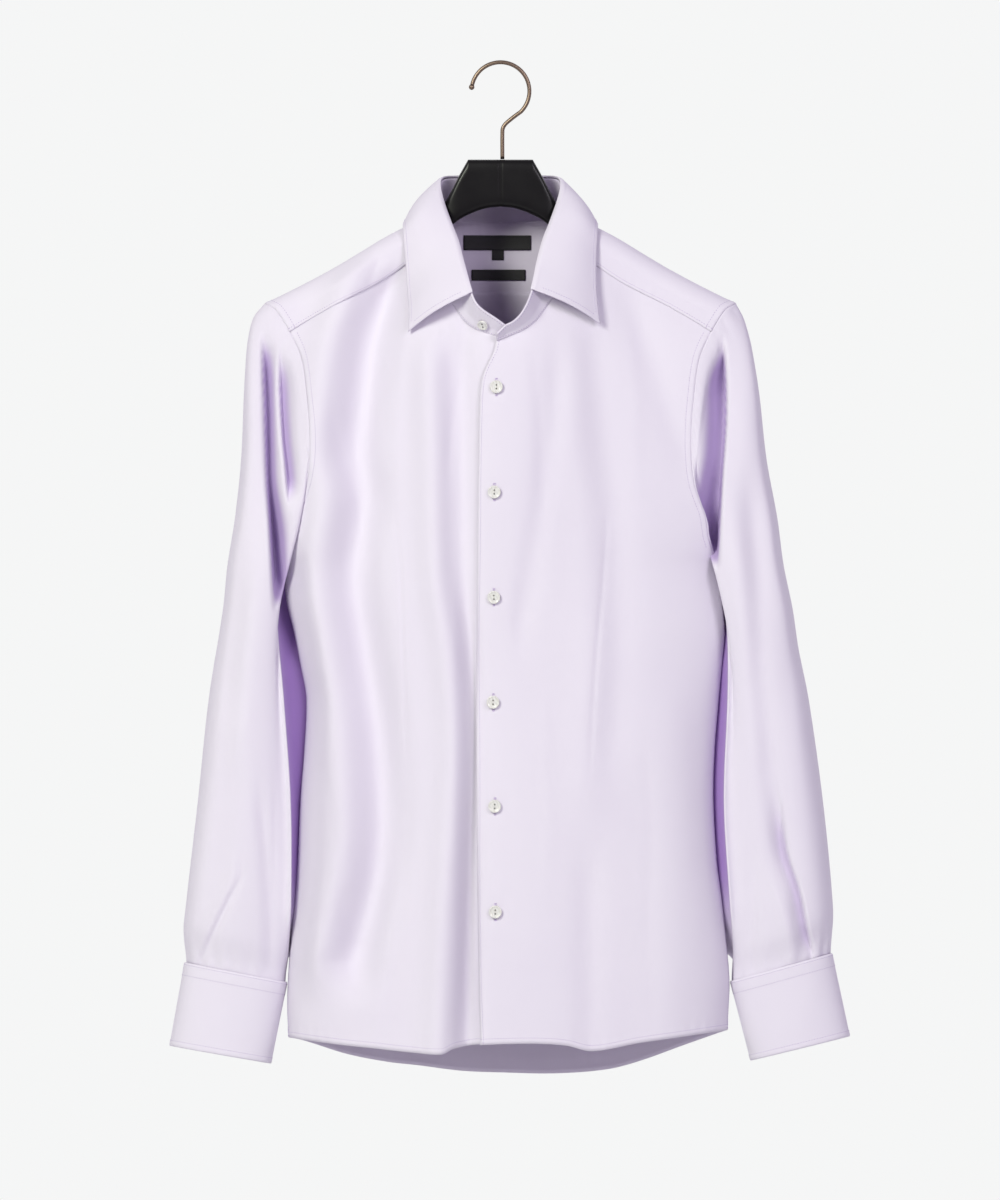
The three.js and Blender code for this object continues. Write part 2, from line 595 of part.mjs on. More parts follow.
function backGrid(across) {
  const top = [];
  const low = [];
  const hem = through(BACK_HEM, 'x', 'z');
  for (let j = 0; j <= across; j += 1) {
    const share = Math.sin((j / across * 2 - 1) * BACK_CROWDING) / Math.sin(BACK_CROWDING);
    const topX = share * (BACK_CORNER_X - SEAM_INSET);
    top.push([topX, backSeamZ(topX) - SEAM_INSET]);
    const x = share * bodyEdge(share, HEM_Z);
    low.push([x, hem(x)]);
  }
  const start = sideRows(-1, top[0][1], low[0][1]);
  const end = sideRows(1, top[across][1], low[across][1]);
  start[0] = top[0];
  end[0] = top[across];
  return patch(top, low, start, end).map((row, i) => row.map(([x, z], j) => {
    const seamSide = (j === 0 || j === across) && i >= ARM_ROWS;
    return point(x, seamSide ? SEAM_INSET : Math.max(backY(x, z), SEAM_INSET), z);
  }));
}

// The yoke, in x and the way over the ridge.
function yokeGrid() {
  const seam = yokeSeam().map(p => ({ x: p.x, q: -wayOf(ridge(p.x) - p.y - SEAM_INSET) }));
  const nearest = seam[1];
  const over = NECK_OVER.map(row => ({ x: -row.x - (row.x > 1 ? NECK_EDGE_GAP : 0),
    q: row.q + (row.q > 1 ? NECK_EDGE_GAP : 0) }));
  const corner = { x: -nearest.x + SEAM_CORNER.x, q: nearest.q + SEAM_CORNER.q };
  const half = [{ x: -nearest.x, q: nearest.q }, corner, ...over];
  const mirrored = half.slice(0, -1).reverse().map(row => ({ x: -row.x, q: row.q }));
  const neck = flat(steps(pairs([...half, ...mirrored], 1, 'q'), 2 * NECK_STEPS + 2));
  const right = seam.slice(2).reverse().map(row => [-row.x, row.q]);
  const left = seam.slice(2).map(row => [row.x, row.q]);
  const top = [...right, ...neck, ...left];
  const across = top.length - 1;
  const low = top.map((_, j) => {
    const x = mix(-1, 1, j / across) * (BACK_CORNER_X - SEAM_INSET);
    return [x, wayOf(ridge(x) - backSeamZ(x) - SEAM_INSET)];
  });
  const start = [];
  const end = [];
  for (let i = 0; i <= YOKE_ROWS; i += 1) {
    const q = mix(top[0][1], low[0][1], i / YOKE_ROWS);
    const reach = tipX(q) - SEAM_INSET;
    start.push([-reach, q]);
    end.push([reach, q]);
  }
  top[0] = start[0];
  top[across] = end[0];
  low[0] = start[YOKE_ROWS];
  low[across] = end[YOKE_ROWS];
  return patch(top, low, start, end).map(row => row.map(([x, q]) => yokePoint(x, q)));
}

// Distance of the armhole seam from the centre at a way over the ridge.
function tipX(q) {
  let x = TIP.x;
  for (let round = 0; round < 12; round += 1) {
    x = mix(x, armholeX(ridge(x) - dropOf(q)), 0.5);
  }
  return x;
}

// The loop round an armhole, on the edges of the front, the yoke and the back.
function armholeLoop(side) {
  const last = grid => grid.map(row => (side < 0 ? row[0] : row.at(-1)));
  const front = frontGrid(side).map(row => row.at(-1)).slice(0, ARM_ROWS + 1);
  const over = last(yokeGrid());
  const back = last(backGrid(BACK_STEPS)).slice(0, ARM_ROWS + 1);
  const join = (a, b) => a.clone().lerp(b, 0.5);
  return [join(front[ARM_ROWS], back[ARM_ROWS]), ...front.slice(1, ARM_ROWS).reverse(),
    join(front[0], over[0]), ...over.slice(1, YOKE_ROWS), join(over[YOKE_ROWS], back[0]),
    ...back.slice(1, ARM_ROWS)];
}

// One sleeve: rings from the armhole loop down to the slanted top of the cuff.
function sleeveGrid(side, down) {
  const around = SLEEVE_SIDES;
  const table = side < 0 ? SLEEVE_RIGHT : SLEEVE_LEFT;
  const cuff = side < 0 ? CUFF_RIGHT : CUFF_LEFT;
  const outer = through(table, 'z', 'outer');
  const inner = through(table, 'z', 'inner');
  const deep = through(table, 'z', 'deep');
  const behind = through(SLEEVE_BEHIND, 'z', 'reach');
  const loop = armholeLoop(side);
  const grid = [];
  for (let i = 0; i <= down; i += 1) {
    const v = i / down;
    const ring = [];
    for (let j = 0; j < around; j += 1) {
      const turn = j / around;
      const angle = 2 * Math.PI * turn;
      const wide = (1 - Math.cos(angle)) / 2;
      const facing = -Math.sin(angle);
      const lowZ = mix(cuff.innerTop[1], cuff.outerTop[1], wide) + SLEEVE_ABOVE_CUFF;
      const z = mix(loop[j].z, lowZ, v);
      const atArmpit = Math.exp(-((Math.min(turn, 1 - turn) / LEAVING.armpitWidth) ** 2));
      const atTop = Math.exp(-(((turn - 0.5) / LEAVING.topWidth) ** 2));
      const power = LEAVING.most + LEAVING.top * atTop + LEAVING.armpit * atArmpit;
      const gone = 1 - (1 - v) ** power;
      const inward = behind(z) * ease(DRAWN_IN.facingFrom, DRAWN_IN.facingTo, facing)
        * (1 - ease(DRAWN_IN.wideFrom, DRAWN_IN.wideTo, wide));
      const section = mix(inner(z), outer(z), wide) - inward;
      const last = ease(SLEEVE_TO_CUFF, 1, v);
      const cuffX = mix(cuff.innerTop[0], cuff.outerTop[0], wide);
      const beside = ARMHOLE_GAP + ARMPIT_GAP * atArmpit;
      const x = mix(Math.abs(loop[j].x) + beside, mix(section, cuffX, last), gone);
      const round = Math.abs(facing) ** SLEEVE_ROUND * Math.sign(facing);
      const y = mix(loop[j].y, round * mix(deep(z), CUFF_DEEP_TOP - SLEEVE_IN_CUFF, last), gone);
      const fold = foldHeight(SLEEVE_FOLDS, x, z) * Math.abs(facing)
        * (1 - ease(SLEEVE_FOLDS_END, 1, v));
      const shift = fold * ease(0, SLEEVE_FOLDS_FROM, v) * Math.sign(facing);
      ring.push(point(side * x, y + shift, z));
    }
    grid.push(ring);
  }
  return grid;
}

function cuffGrid(side, around, down) {
  const cuff = side < 0 ? CUFF_RIGHT : CUFF_LEFT;
  const grid = [];
  for (let i = 0; i <= down; i += 1) {
    const v = i / down;
    const ring = [];
    for (let j = 0; j < around; j += 1) {
      const angle = 2 * Math.PI * j / around;
      const wide = (1 - Math.cos(angle)) / 2;
      const place = k => mix(mix(cuff.innerTop[k], cuff.outerTop[k], wide),
        mix(cuff.innerLow[k], cuff.outerLow[k], wide), v);
      const facing = -Math.sin(angle);
      const round = Math.abs(facing) ** CUFF_ROUND * Math.sign(facing);
      ring.push(point(side * place(0), round * mix(CUFF_DEEP_TOP, CUFF_DEEP_LOW, v), place(1)));
    }
    grid.push(ring);
  }
  return grid;
}

// The seam on which the collar stands, from the under front's end round the back.
function neckSeam() {
  const front = side => NECK_FRONT.map((row) => {
    const lap = side < 0 ? LAP * ease(LAP_FROM, LAP_TO, -row.x) : 0;
    return point(side * row.x, frontY(side * row.x, row.z) + lap, row.z);
  });
  const over = side => NECK_OVER.map(row => yokePoint(side * row.x, row.q));
  const end = (x, lap) => point(x, frontY(x, NECK_FRONT_Z) + lap, NECK_FRONT_Z);
  return [end(UNDER_NECK_X, LAP + NECK_END_OUT), ...front(-1), ...over(-1),
    ...over(1).slice(0, -1).reverse(), ...front(1).reverse(), end(OVER_NECK_X, -NECK_END_OUT)];
}

function standTop() {
  const place = (row, side) => point(side * row.x, row.y, row.z);
  const right = STAND_TOP_RIGHT.map(row => place(row, 1));
  const rightBack = STAND_TOP_BACK.map(row => place(row, -1));
  const leftBack = STAND_TOP_BACK.slice(0, -1).reverse().map(row => place(row, 1));
  const left = [...STAND_TOP_LEFT].reverse().map(row => place(row, 1));
  return [...right, ...rightBack, ...leftBack, ...left];
}

const seamCurve = new THREE.CatmullRomCurve3(neckSeam(), false, 'centripetal');
const topCurve = new THREE.CatmullRomCurve3(standTop(), false, 'centripetal');

// The share of a neck curve's length at which it crosses the middle of the back.
function middleOf(curve) {
  let [low, high] = [0.3, 0.7];
  for (let round = 0; round < 30; round += 1) {
    const middle = (low + high) / 2;
    if (curve.getPointAt(middle).x < 0) low = middle;
    else high = middle;
  }
  return low;
}

const seamMiddle = middleOf(seamCurve);
const topMiddle = middleOf(topCurve);

// A place on the stand: t runs from the wearer's right end, by the back at a half, to the left.
function standPoint(t, height) {
  const on = (curve, middle) => curve.getPointAt(clamp(t < 0.5 ? 2 * t * middle
    : mix(middle, 1, 2 * t - 1), 0, 1));
  return on(seamCurve, seamMiddle).lerp(on(topCurve, topMiddle), height);
}

function standGrid(along, rows) {
  const grid = [];
  for (let i = 0; i <= rows; i += 1) {
    const row = [];
    for (let j = 0; j <= along; j += 1) row.push(standPoint(j / along, i / rows));
    grid.push(row);
  }
  return grid;
}

// Outer edge of the leaf, clear of the fronts and the yoke.
function leafEdge() {
  const front = side => LEAF_EDGE_FRONT.map((row) => {
    const x = side * row.x;
    return point(x, frontY(x, row.z) - row.off, row.z);
  });
  const over = side => LEAF_EDGE_OVER.map((row) => {
    const place = yokePoint(side * row.x, row.q);
    const tilt = clamp(row.q / ARM_RADIUS, -Math.PI / 2, Math.PI / 2);
    return place.add(point(0, Math.sin(tilt), Math.cos(tilt)).multiplyScalar(LEAF_CLEAR));
  });
  return [...front(-1), ...over(-1), ...over(1).slice(0, -1).reverse(), ...front(1).reverse()];
}

// The leaf: it rolls over the top of the stand and falls to its outer edge.
function leafGrid(along, rows) {
  const edge = new THREE.CatmullRomCurve3(leafEdge(), false, 'centripetal');
  const columns = [];
  for (let j = 0; j <= along; j += 1) {
    const share = j / along;
    const t = share < 0.5 ? mix(LEAF_START, 0.5, 2 * share) : mix(0.5, LEAF_END, 2 * share - 1);
    const top = standPoint(t, 1);
    const up = top.clone().sub(standPoint(t, STAND_UPPER)).normalize();
    const before = standPoint(t - STAND_STEP, 1);
    const ahead = standPoint(Math.min(t + STAND_STEP, 1), 1).sub(before).normalize();
    const out = ahead.clone().cross(up).normalize();
    if (out.dot(point(top.x, top.y + NECK_CENTRE_Y, 0)) < 0) out.negate();
    const rolled = row => top.clone().addScaledVector(up, row.rise).addScaledVector(out, row.away);
    const hang = rolled(LEAF_HANG);
    const last = edge.getPointAt(share - LEAF_FORWARD * Math.sin(2 * Math.PI * share));
    const away = last.clone().sub(hang).cross(ahead).normalize();
    if (away.dot(up) + away.dot(out) < 0) away.negate();
    const column = LEAF_ROLL.map(rolled);
    for (let i = 0; i <= rows; i += 1) {
      const v = i / rows;
      const bow = LEAF_BOW * Math.sin(Math.PI * v);
      column.push(hang.clone().lerp(last, v).addScaledVector(away, bow));
    }
    columns.push(column);
  }
  return columns[0].map((_, i) => columns.map(column => column[i]));
}

// A button with a raised rim, seen along its own axis.
function button(radius) {
  const half = BUTTON_THICK / 2;
  const outline = [
    [0, -half], [radius - BUTTON_FOOT.inside, -half], [radius, -half + BUTTON_FOOT.up],
    [radius - BUTTON_EDGE.outer, half], [radius - BUTTON_EDGE.inner, half],
    [radius - BUTTON_EDGE.dish, half - BUTTON_RIM], [0, half - BUTTON_RIM],
  ];
  const profile = outline.map(([r, y]) => new THREE.Vector2(r, y));
  return new THREE.LatheGeometry(profile, BUTTON_SIDES);
}

// Unit direction out of a surface given by a function of x and z.
function outward(surface, x, z, face) {
  const step = 4;
  const alongX = point(2 * step, surface(x + step, z) - surface(x - step, z), 0);
  const alongZ = point(0, surface(x, z + step) - surface(x, z - step), 2 * step);
  const normal = alongX.cross(alongZ).normalize();
  return normal.y * face < 0 ? normal.negate() : normal;
}

const root = new THREE.Group();

function add(name, geometry, look) {
  const mesh = new THREE.Mesh(geometry, new THREE.MeshStandardMaterial(look));
  mesh.name = name;
  root.add(mesh);
  return mesh;
}

// A button seated on a place of the cloth, with its face along the given direction.
function seat(name, radius, place, direction, cloth) {
  const mesh = add(name, button(radius), BUTTON_LOOK);
  const away = cloth / 2 + SEAM_GAP + BUTTON_THICK / 2 + BUTTON_OFF;
  mesh.position.copy(place).addScaledVector(direction, away);
  mesh.quaternion.setFromUnitVectors(point(0, 1, 0), direction);
  return mesh;
}

function addBody() {
  add('yoke', wall(yokeGrid(), CLOTH), CLOTH_LOOK);
  add('back', wall(backGrid(BACK_STEPS), CLOTH), CLOTH_LOOK);
  add('front_right', wall(frontGrid(-1), CLOTH), CLOTH_LOOK);
  add('front_left', wall(frontGrid(1), CLOTH), CLOTH_LOOK);
}

function addCollar() {
  add('collar_stand', wall(standGrid(STAND_ALONG, STAND_ROWS), COLLAR_CLOTH), CLOTH_LOOK);
  add('collar_leaf', wall(leafGrid(LEAF_ALONG, LEAF_ROWS), COLLAR_CLOTH), CLOTH_LOOK);
}

// The sleeves, their plackets and cuffs, and the cuffs' buttons on the hidden side.
function addSleeves() {
  for (const [name, side] of [['right', -1], ['left', 1]]) {
    add(`sleeve_${name}`, wall(sleeveGrid(side, SLEEVE_ROWS), CLOTH, true), CLOTH_LOOK);
    const fine = sleeveGrid(side, FINE_ROWS);
    const strip = [];
    for (let i = PLACKET.top; i <= PLACKET.bottom; i += PLACKET.step) {
      const [inner, outer] = [fine[i][PLACKET.column], fine[i][PLACKET.column + 1]];
      const middle = outer.clone().lerp(inner, 0.5).add(point(side * PLACKET.aside, PLACKET.out, 0));
      const half = outer.clone().sub(inner).setLength(PLACKET.width / 2);
      strip.push([middle.clone().sub(half), middle, middle.clone().add(half)]);
    }
    add(`sleeve_placket_${name}`, wall(strip, CLOTH), CLOTH_LOOK);
    const cuff = cuffGrid(side, CUFF_SIDES, CUFF_ROWS);
    add(`cuff_${name}`, wall(cuff, CUFF_CLOTH, true), CLOTH_LOOK);
    const column = CUFF_SIDES * 3 / 4;
    const place = cuff[1][column].clone().lerp(cuff[2][column], 0.5);
    seat(`cuff_button_${name}`, CUFF_BUTTON_RADIUS, place, point(0, 1, 0), CUFF_CLOTH);
  }
}

function addButtons() {
  for (const [i, row] of FRONT_BUTTONS.entries()) {
    const place = point(row.x, frontY(row.x, row.z), row.z);
    seat(`front_button_${i + 1}`, BUTTON_RADIUS, place, outward(frontY, row.x, row.z, -1), CLOTH);
  }
  const on = nearestOnStand(COLLAR_BUTTON.x, COLLAR_BUTTON.z);
  const side = standPoint(on.t + 0.01, on.height).sub(standPoint(on.t - 0.01, on.height));
  const up = standPoint(on.t, 1).sub(standPoint(on.t, 0));
  const direction = side.cross(up).normalize();
  if (direction.y > 0) direction.negate();
  seat('collar_button', COLLAR_BUTTON_RADIUS, standPoint(on.t, on.height), direction, COLLAR_CLOTH);
}

// The place on the wearer's right end of the stand that shows at x and z.
function nearestOnStand(x, z) {
  let best = { away: Infinity };
  for (let t = 0.015; t < 0.12; t += 0.002) {
    for (let height = 0.1; height < 0.9; height += 0.02) {
      const place = standPoint(t, height);
      const away = Math.hypot(place.x - x, place.z - z);
      if (away < best.away) best = { away, t, height };
    }
  }
  return best;
}

function addLabels() {
  const depthIn = CLOTH / 2 + SEAM_GAP + LABEL_CLOTH / 2 + LABEL_HANG;
  for (const label of LABELS) {
    const grid = [];
    for (let i = 0; i <= 2; i += 1) {
      const row = [];
      for (let j = 0; j <= label.across; j += 1) {
        const x = mix(label.left, label.right, j / label.across);
        const z = mix(label.top, label.bottom, i / 2);
        row.push(point(x, backY(x, z) - depthIn, z));
      }
      grid.push(row);
    }
    add(label.name, wall(grid, LABEL_CLOTH), LABEL_LOOK);
  }
}

// The hanger: rounded sections from one arm's end to the other.
function addHanger() {
  const mirrored = [...HANGER].reverse().map(row => ({ ...row, x: -row.x }));
  const rings = [...mirrored.slice(0, -1), ...HANGER].map((row) => {
    const ring = [];
    for (let j = 0; j < HANGER_SIDES; j += 1) {
      const angle = 2 * Math.PI * (j + 0.5) / HANGER_SIDES;
      const bend = value => Math.sign(value) * Math.abs(value) ** row.square;
      const z = mix(row.low, row.top, (bend(Math.sin(angle)) + 1) / 2);
      ring.push(point(row.x, row.deep * bend(Math.cos(angle)), z));
    }
    return ring;
  });
  add('hanger', skinned(rings), HANGER_LOOK);
}

// The hook: a wire swept round the ring, across to the stem and down into the hanger.
function addHook() {
  const path = [];
  for (let angle = HOOK_FREE_ANGLE; angle >= HOOK_LAST_ANGLE; angle -= 8) {
    const turn = THREE.MathUtils.degToRad(angle);
    path.push(point(HOOK_RADIUS * Math.cos(turn), 0, HOOK_CENTRE_Z + HOOK_RADIUS * Math.sin(turn)));
  }
  path.push(point(STEM_X + 2.2, 0, STEM_BEND_Z + 1.8));
  path.push(point(STEM_X + 0.3, 0, STEM_BEND_Z - 1.8));
  path.push(point(STEM_X, 0, STEM_BEND_Z - 5));
  path.push(point(STEM_X, 0, STEM_END_Z));
  const rings = path.map((place, i) => {
    const ahead = path[Math.min(i + 1, path.length - 1)];
    const before = path[Math.max(i - 1, 0)];
    const along = ahead.clone().sub(before).normalize();
    const across = along.clone().cross(point(0, 1, 0));
    return ringAround(place, across, WIRE / 2);
  });
  const first = path[0];
  const tangent = path[1].clone().sub(first).normalize();
  const across = tangent.clone().cross(point(0, 1, 0));
  const ball = [];
  for (const turn of [8, 40, 75, 110, 135]) {
    const angle = THREE.MathUtils.degToRad(turn);
    const centre = first.clone().addScaledVector(tangent, -BALL_RADIUS * (Math.cos(angle) + 0.7));
    ball.push(ringAround(centre, across, BALL_RADIUS * Math.sin(angle)));
  }
  add('hook', skinned([...ball, ...rings]), HOOK_LOOK);
}

function ringAround(centre, across, radius) {
  const ring = [];
  for (let j = 0; j < WIRE_SIDES; j += 1) {
    const angle = 2 * Math.PI * j / WIRE_SIDES;
    const place = centre.clone().addScaledVector(across, radius * Math.cos(angle));
    ring.push(place.add(point(0, radius * Math.sin(angle), 0)));
  }
  return ring;
}

addBody();
addCollar();
addSleeves();
addButtons();
addLabels();
addHanger();
addHook();

export default root;
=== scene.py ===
import math

import bpy
import numpy as np
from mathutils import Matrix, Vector


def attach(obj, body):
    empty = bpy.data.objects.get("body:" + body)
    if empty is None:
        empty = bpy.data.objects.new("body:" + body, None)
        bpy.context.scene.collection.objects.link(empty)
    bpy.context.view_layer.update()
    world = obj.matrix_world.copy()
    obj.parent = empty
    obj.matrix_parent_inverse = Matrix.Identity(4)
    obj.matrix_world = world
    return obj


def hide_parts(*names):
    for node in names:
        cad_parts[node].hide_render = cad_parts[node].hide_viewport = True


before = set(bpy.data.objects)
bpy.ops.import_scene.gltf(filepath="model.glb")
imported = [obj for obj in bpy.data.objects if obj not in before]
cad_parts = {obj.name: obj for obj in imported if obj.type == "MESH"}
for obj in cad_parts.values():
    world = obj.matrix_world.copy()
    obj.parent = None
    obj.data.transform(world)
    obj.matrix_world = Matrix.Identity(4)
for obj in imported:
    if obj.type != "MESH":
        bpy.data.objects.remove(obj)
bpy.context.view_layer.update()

# Sizes are in millimetres until a mesh is made.
MM = 0.001

# Thickness of one layer of cloth and of the stiffened pieces.
CLOTH, FACED = 0.9, 1.7
# How far an edge reaches on under its seam, and how deep it lies there.
TUCK, TUCK_DEPTH = 2.6, 1.1
SLEEVE_TUCK, SLEEVE_TUCK_DEPTH = 2.0, 0.85
NECK_TUCK = 1.2
# The stand's lower edge and the yoke stand out by this much over what they are sewn to.
STAND_LIFT, YOKE_LIFT = 1.5, 0.25
# Steps over which the front's tuck begins beside the neck, and the share of its depth row by row.
TUCK_RISE = 12
FRONT_TUCKED, BACK_TUCKED = (1, 0.9, 0.7, 0.4, 0.15), (1, 0.8, 0.45, 0.15)
# The under front lies back beneath the over one, and sinks further beside it.
LAP, SINK = 3.0, 6.0
LAP_FROM, LAP_TO = -42, -27
# Share of painted shade, a deep violet mixed into the dye, on the insides of the cloth and in a sleeve's
# valleys.
INSIDE_SHADE_SHARE, VALLEY_SHADE_SHARE = 0.2, 0.64
# Share of a sheet's thickness that is left at its edges.
EDGE_SHARE = 0.45

# Folds die out from this share of the half width on, towards the side seam.
FLAT_FROM = 0.86
# How much the columns of a sheet crowd towards its side seams.
FRONT_CROWD, BACK_CROWD = 1.35, 1.3

# Steps of the grids of cloth.
FRONT_NECK, FRONT_SEAM = 38, 80
ARM_STEPS, SIDE_STEPS, BACK_ACROSS = 78, 120, 166
YOKE_SEAM_STEPS, YOKE_NECK_STEPS, YOKE_DOWN = 64, 48, 54
SLEEVE_AROUND, SLEEVE_DOWN = 184, 196
CUFF_AROUND, CUFF_DOWN = 124, 50
STAND_AROUND, STAND_UP = 321, 30
LEAF_AROUND, LEAF_DOWN, LEAF_TURN = 265, 46, 9

# The wearer's sides.
SIDES = {-1: "right", 1: "left"}

# Shoulders and body, as in the frame.
ARM_RADIUS = 18.0
ARM_QUARTER = ARM_RADIUS * math.pi / 2
FRONT_SLOPE, FRONT_FULL = 0.22, 64.0
BACK_SLOPE, BACK_FULL = 0.09, 32.0
# The chest's and the nape's bulge: depth, half width, heights over which it shrinks, and to what share.
CHEST, CHEST_WIDTH, CHEST_HEIGHTS, CHEST_LEFT = 26.0, 80.0, (-560, -240), 0.3
NAPE, NAPE_WIDTH, NAPE_HEIGHTS, NAPE_LEFT = 32.0, 62.0, (-420, -140), 0.4
# Share by which the placket lies flat, the middle of it and its half width.
PLACKET_STIFF, PLACKET_MIDDLE, PLACKET_HALF = 0.85, -4.0, 15.0
# The section closes to its sides by these powers, from one drop below the ridge to another.
SIDE_POWER, SIDE_ROUND = 3.0, 1 / 2.1
SIDE_START, SIDE_END = 40.0, 190.0
HEM_Z = -860.0
# Fine creases count for this share; a fold that ends below FOLD_HEM runs on to the hem.
CREASE_SHARE, FOLD_HEM = 0.5, -850
# Heights over which a fold comes in at its upper end, and goes out at its lower one.
FOLD_IN, FOLD_OUT = 30, (45, 15)
VALLEY_IN, VALLEY_OUT = 60, (2, 30)
# Shape of a valley's and of a dart's section.
VALLEY_POWER, DART_POWER = 2.4, 1.3

# Ridge of the shoulder: (x, z).
RIDGE = [(0, -122), (30, -126), (63, -135), (85, -144.5), (104, -154.5), (125, -167.3),
         (147, -180.4), (172, -193.8), (198, -206.8), (207, -210.5)]

# Side edges of the body: (z, wearer's right, wearer's left).
BODY_EDGE = [
    (-210, 262, 262), (-300, 238, 238), (-370, 224, 224), (-400, 213, 213), (-425, 200, 200),
    (-442, 192, 192), (-475, 188, 196), (-500, 182, 198), (-530, 176, 196), (-559, 171, 193),
    (-607, 173, 189), (-648, 176.5, 188), (-703, 179, 191), (-733, 181, 195),
    (-770, 184.5, 198.5), (-807, 187, 201.5), (-835, 187.5, 200.5), (-860, 186, 199),
]

# Armhole seam, (x, z), from the shoulder tip to the armpit.
ARMHOLE = [(207, -211), (199, -215.5), (189, -230), (186, -236), (178, -252), (174, -266),
           (171, -290), (168.5, -320), (168.5, -348), (171, -370), (176, -386), (181, -400),
           (184, -420), (191, -441)]
TIP_X = 207.0
ARMPIT_X, ARMPIT_Z = 191.0, -441.0

# Seams of the yoke, (x, z), and of the neck; q runs over the ridge, below 0 in front.
YOKE_SEAM = [(60.5, -160), (85, -178), (106, -192), (127, -203), (147, -213), (168, -225),
             (186, -236)]
NECK_FRONT = [(25, -230), (44, -205), (57, -178), (60.5, -160)]
NECK_OVER = [(63, -18), (63.5, 0), (60, 9), (50, 16), (30, 23.7), (0, 28.3)]
NECK_FRONT_Z = -243.5
BACK_YOKE_Z, BACK_YOKE_DROP = -203.0, 40.0

# Free edge of the front that laps over, (z, x), and the end of the one beneath.
OVER_EDGE = [(-243, -3.6), (-254, -6), (-262, -10), (-276, -16), (-300, -18.5), (-400, -20),
             (-600, -21), (-800, -19), (-863, -17.6)]
UNDER_EDGE_X = 14.0

# Hems: (x, z).
RIGHT_HEM = [(-186, -857), (-142, -863), (-112, -866), (-81, -869.4), (-51, -871.2),
             (-42, -866.5), (-18, -862.4), (14, -861)]
LEFT_HEM = [(-17.6, -863), (11.5, -862), (35, -862), (58.5, -863.8), (80.5, -868.6),
            (121.5, -861.5), (160, -856), (199, -850.5)]
BACK_HEM = [(-186, -857), (-173, -860), (-134, -872.4), (-100, -879), (-74, -882), (-36, -887),
            (0, -888.6), (45, -889.5), (93, -885.8), (121, -878.8), (160, -864.6),
            (199, -850.5)]

# Folds: height (a ridge above 0, a trough below), width, and a path of (x, z).
FRONT_FOLDS = [
    (13, 18, [(-128, -176), (-151, -240), (-160, -300), (-164, -340), (-158, -383), (-166, -449),
             (-158, -515), (-147, -590), (-144, -691), (-166, -790)]),
    (-18, 18, [(-88, -176), (-111, -240), (-120, -300), (-124, -340), (-119, -383),
               (-127, -449), (-118, -515), (-107, -590), (-104, -691), (-126, -790)]),
    (8.5, 14, [(-64, -245), (-62, -340), (-58, -449), (-48, -515), (-42, -603), (-50, -735),
             (-56, -868)]),
    (-8, 13, [(-38, -245), (-36, -340), (-34, -449), (-24, -515), (-14, -603), (-22, -735),
                (-30, -868)]),
    (-2.4, 12, [(52, -251), (43, -339), (30, -427), (18, -493)]),
    (-2.6, 16, [(80, -233), (92, -339), (98, -392), (104, -515), (98, -600)]),
    (2.2, 16, [(60, -233), (68, -339), (76, -400), (80, -515), (76, -640)]),
    (-2.6, 13, [(78, -700), (78, -780), (79, -870)]),
    (-3, 15, [(112, -200), (142, -286), (163, -345)]),
    (2.2, 22, [(150, -560), (152, -680), (150, -800), (146, -860)]),
]
BACK_FOLDS = [
    (5, 20, [(-140, -260), (-132, -420), (-118, -640), (-126, -880)]),
    (-5, 18, [(-104, -250), (-100, -420), (-84, -640), (-92, -880)]),
    (4.5, 18, [(-56, -300), (-50, -480), (-44, -690), (-52, -880)]),
    (-4, 18, [(-18, -330), (-14, -520), (-6, -720), (-12, -880)]),
    (4.5, 20, [(34, -300), (28, -470), (36, -690), (30, -880)]),
    (-5, 18, [(70, -260), (74, -430), (80, -640), (72, -880)]),
    (5.5, 20, [(118, -250), (120, -430), (116, -650), (124, -880)]),
]

# Finer creases of the fronts and of the back.
FRONT_CREASES = [
    (-1.6, 5, [(-96, -186), (-104, -225), (-112, -268), (-116, -330)]),
    (1.3, 6, [(-76, -190), (-84, -240), (-90, -300), (-92, -372)]),
    (-1.5, 6, [(-150, -300), (-140, -345), (-124, -392), (-112, -452)]),
    (-1.2, 6, [(-84, -560), (-80, -640), (-84, -730), (-92, -800)]),
    (1.2, 7, [(-98, -640), (-96, -720), (-104, -800), (-110, -866)]),
    (-1.3, 5, [(-28, -262), (-40, -300), (-46, -352)]),
    (-1.1, 6, [(-160, -610), (-148, -660), (-138, -730)]),
    (-1.4, 6, [(30, -262), (34, -310), (36, -372)]),
    (1.0, 7, [(112, -232), (118, -290), (120, -352)]),
    (-0.9, 7, [(128, -600), (132, -680), (130, -760), (134, -830)]),
    (0.9, 7, [(38, -560), (42, -640), (40, -720)]),
]
BACK_CREASES = [
    (-1.4, 6, [(-160, -262), (-150, -330), (-142, -400)]),
    (1.4, 6, [(-84, -232), (-76, -330), (-70, -430)]),
    (-1.5, 6, [(-40, -250), (-34, -360), (-30, -470)]),
    (1.3, 6, [(10, -260), (12, -380), (8, -520), (14, -640)]),
    (-1.4, 6, [(52, -300), (56, -420), (60, -540)]),
    (1.4, 6, [(96, -250), (98, -360), (100, -470)]),
    (-1.5, 6, [(148, -260), (144, -350), (136, -450)]),
    (-1.3, 5, [(-160, -560), (-150, -650), (-154, -760)]),
    (1.2, 5, [(160, -540), (152, -640), (158, -760)]),
]
DARTS = [(-1.3, 1.6, [(93.7, -396), (90.8, -446), (84.5, -518), (81, -572), (78.2, -626)]),
         (-1.1, 1.6, [(-93.7, -399.5), (-89.3, -424), (-86, -500), (-84, -560), (-82, -610)])]

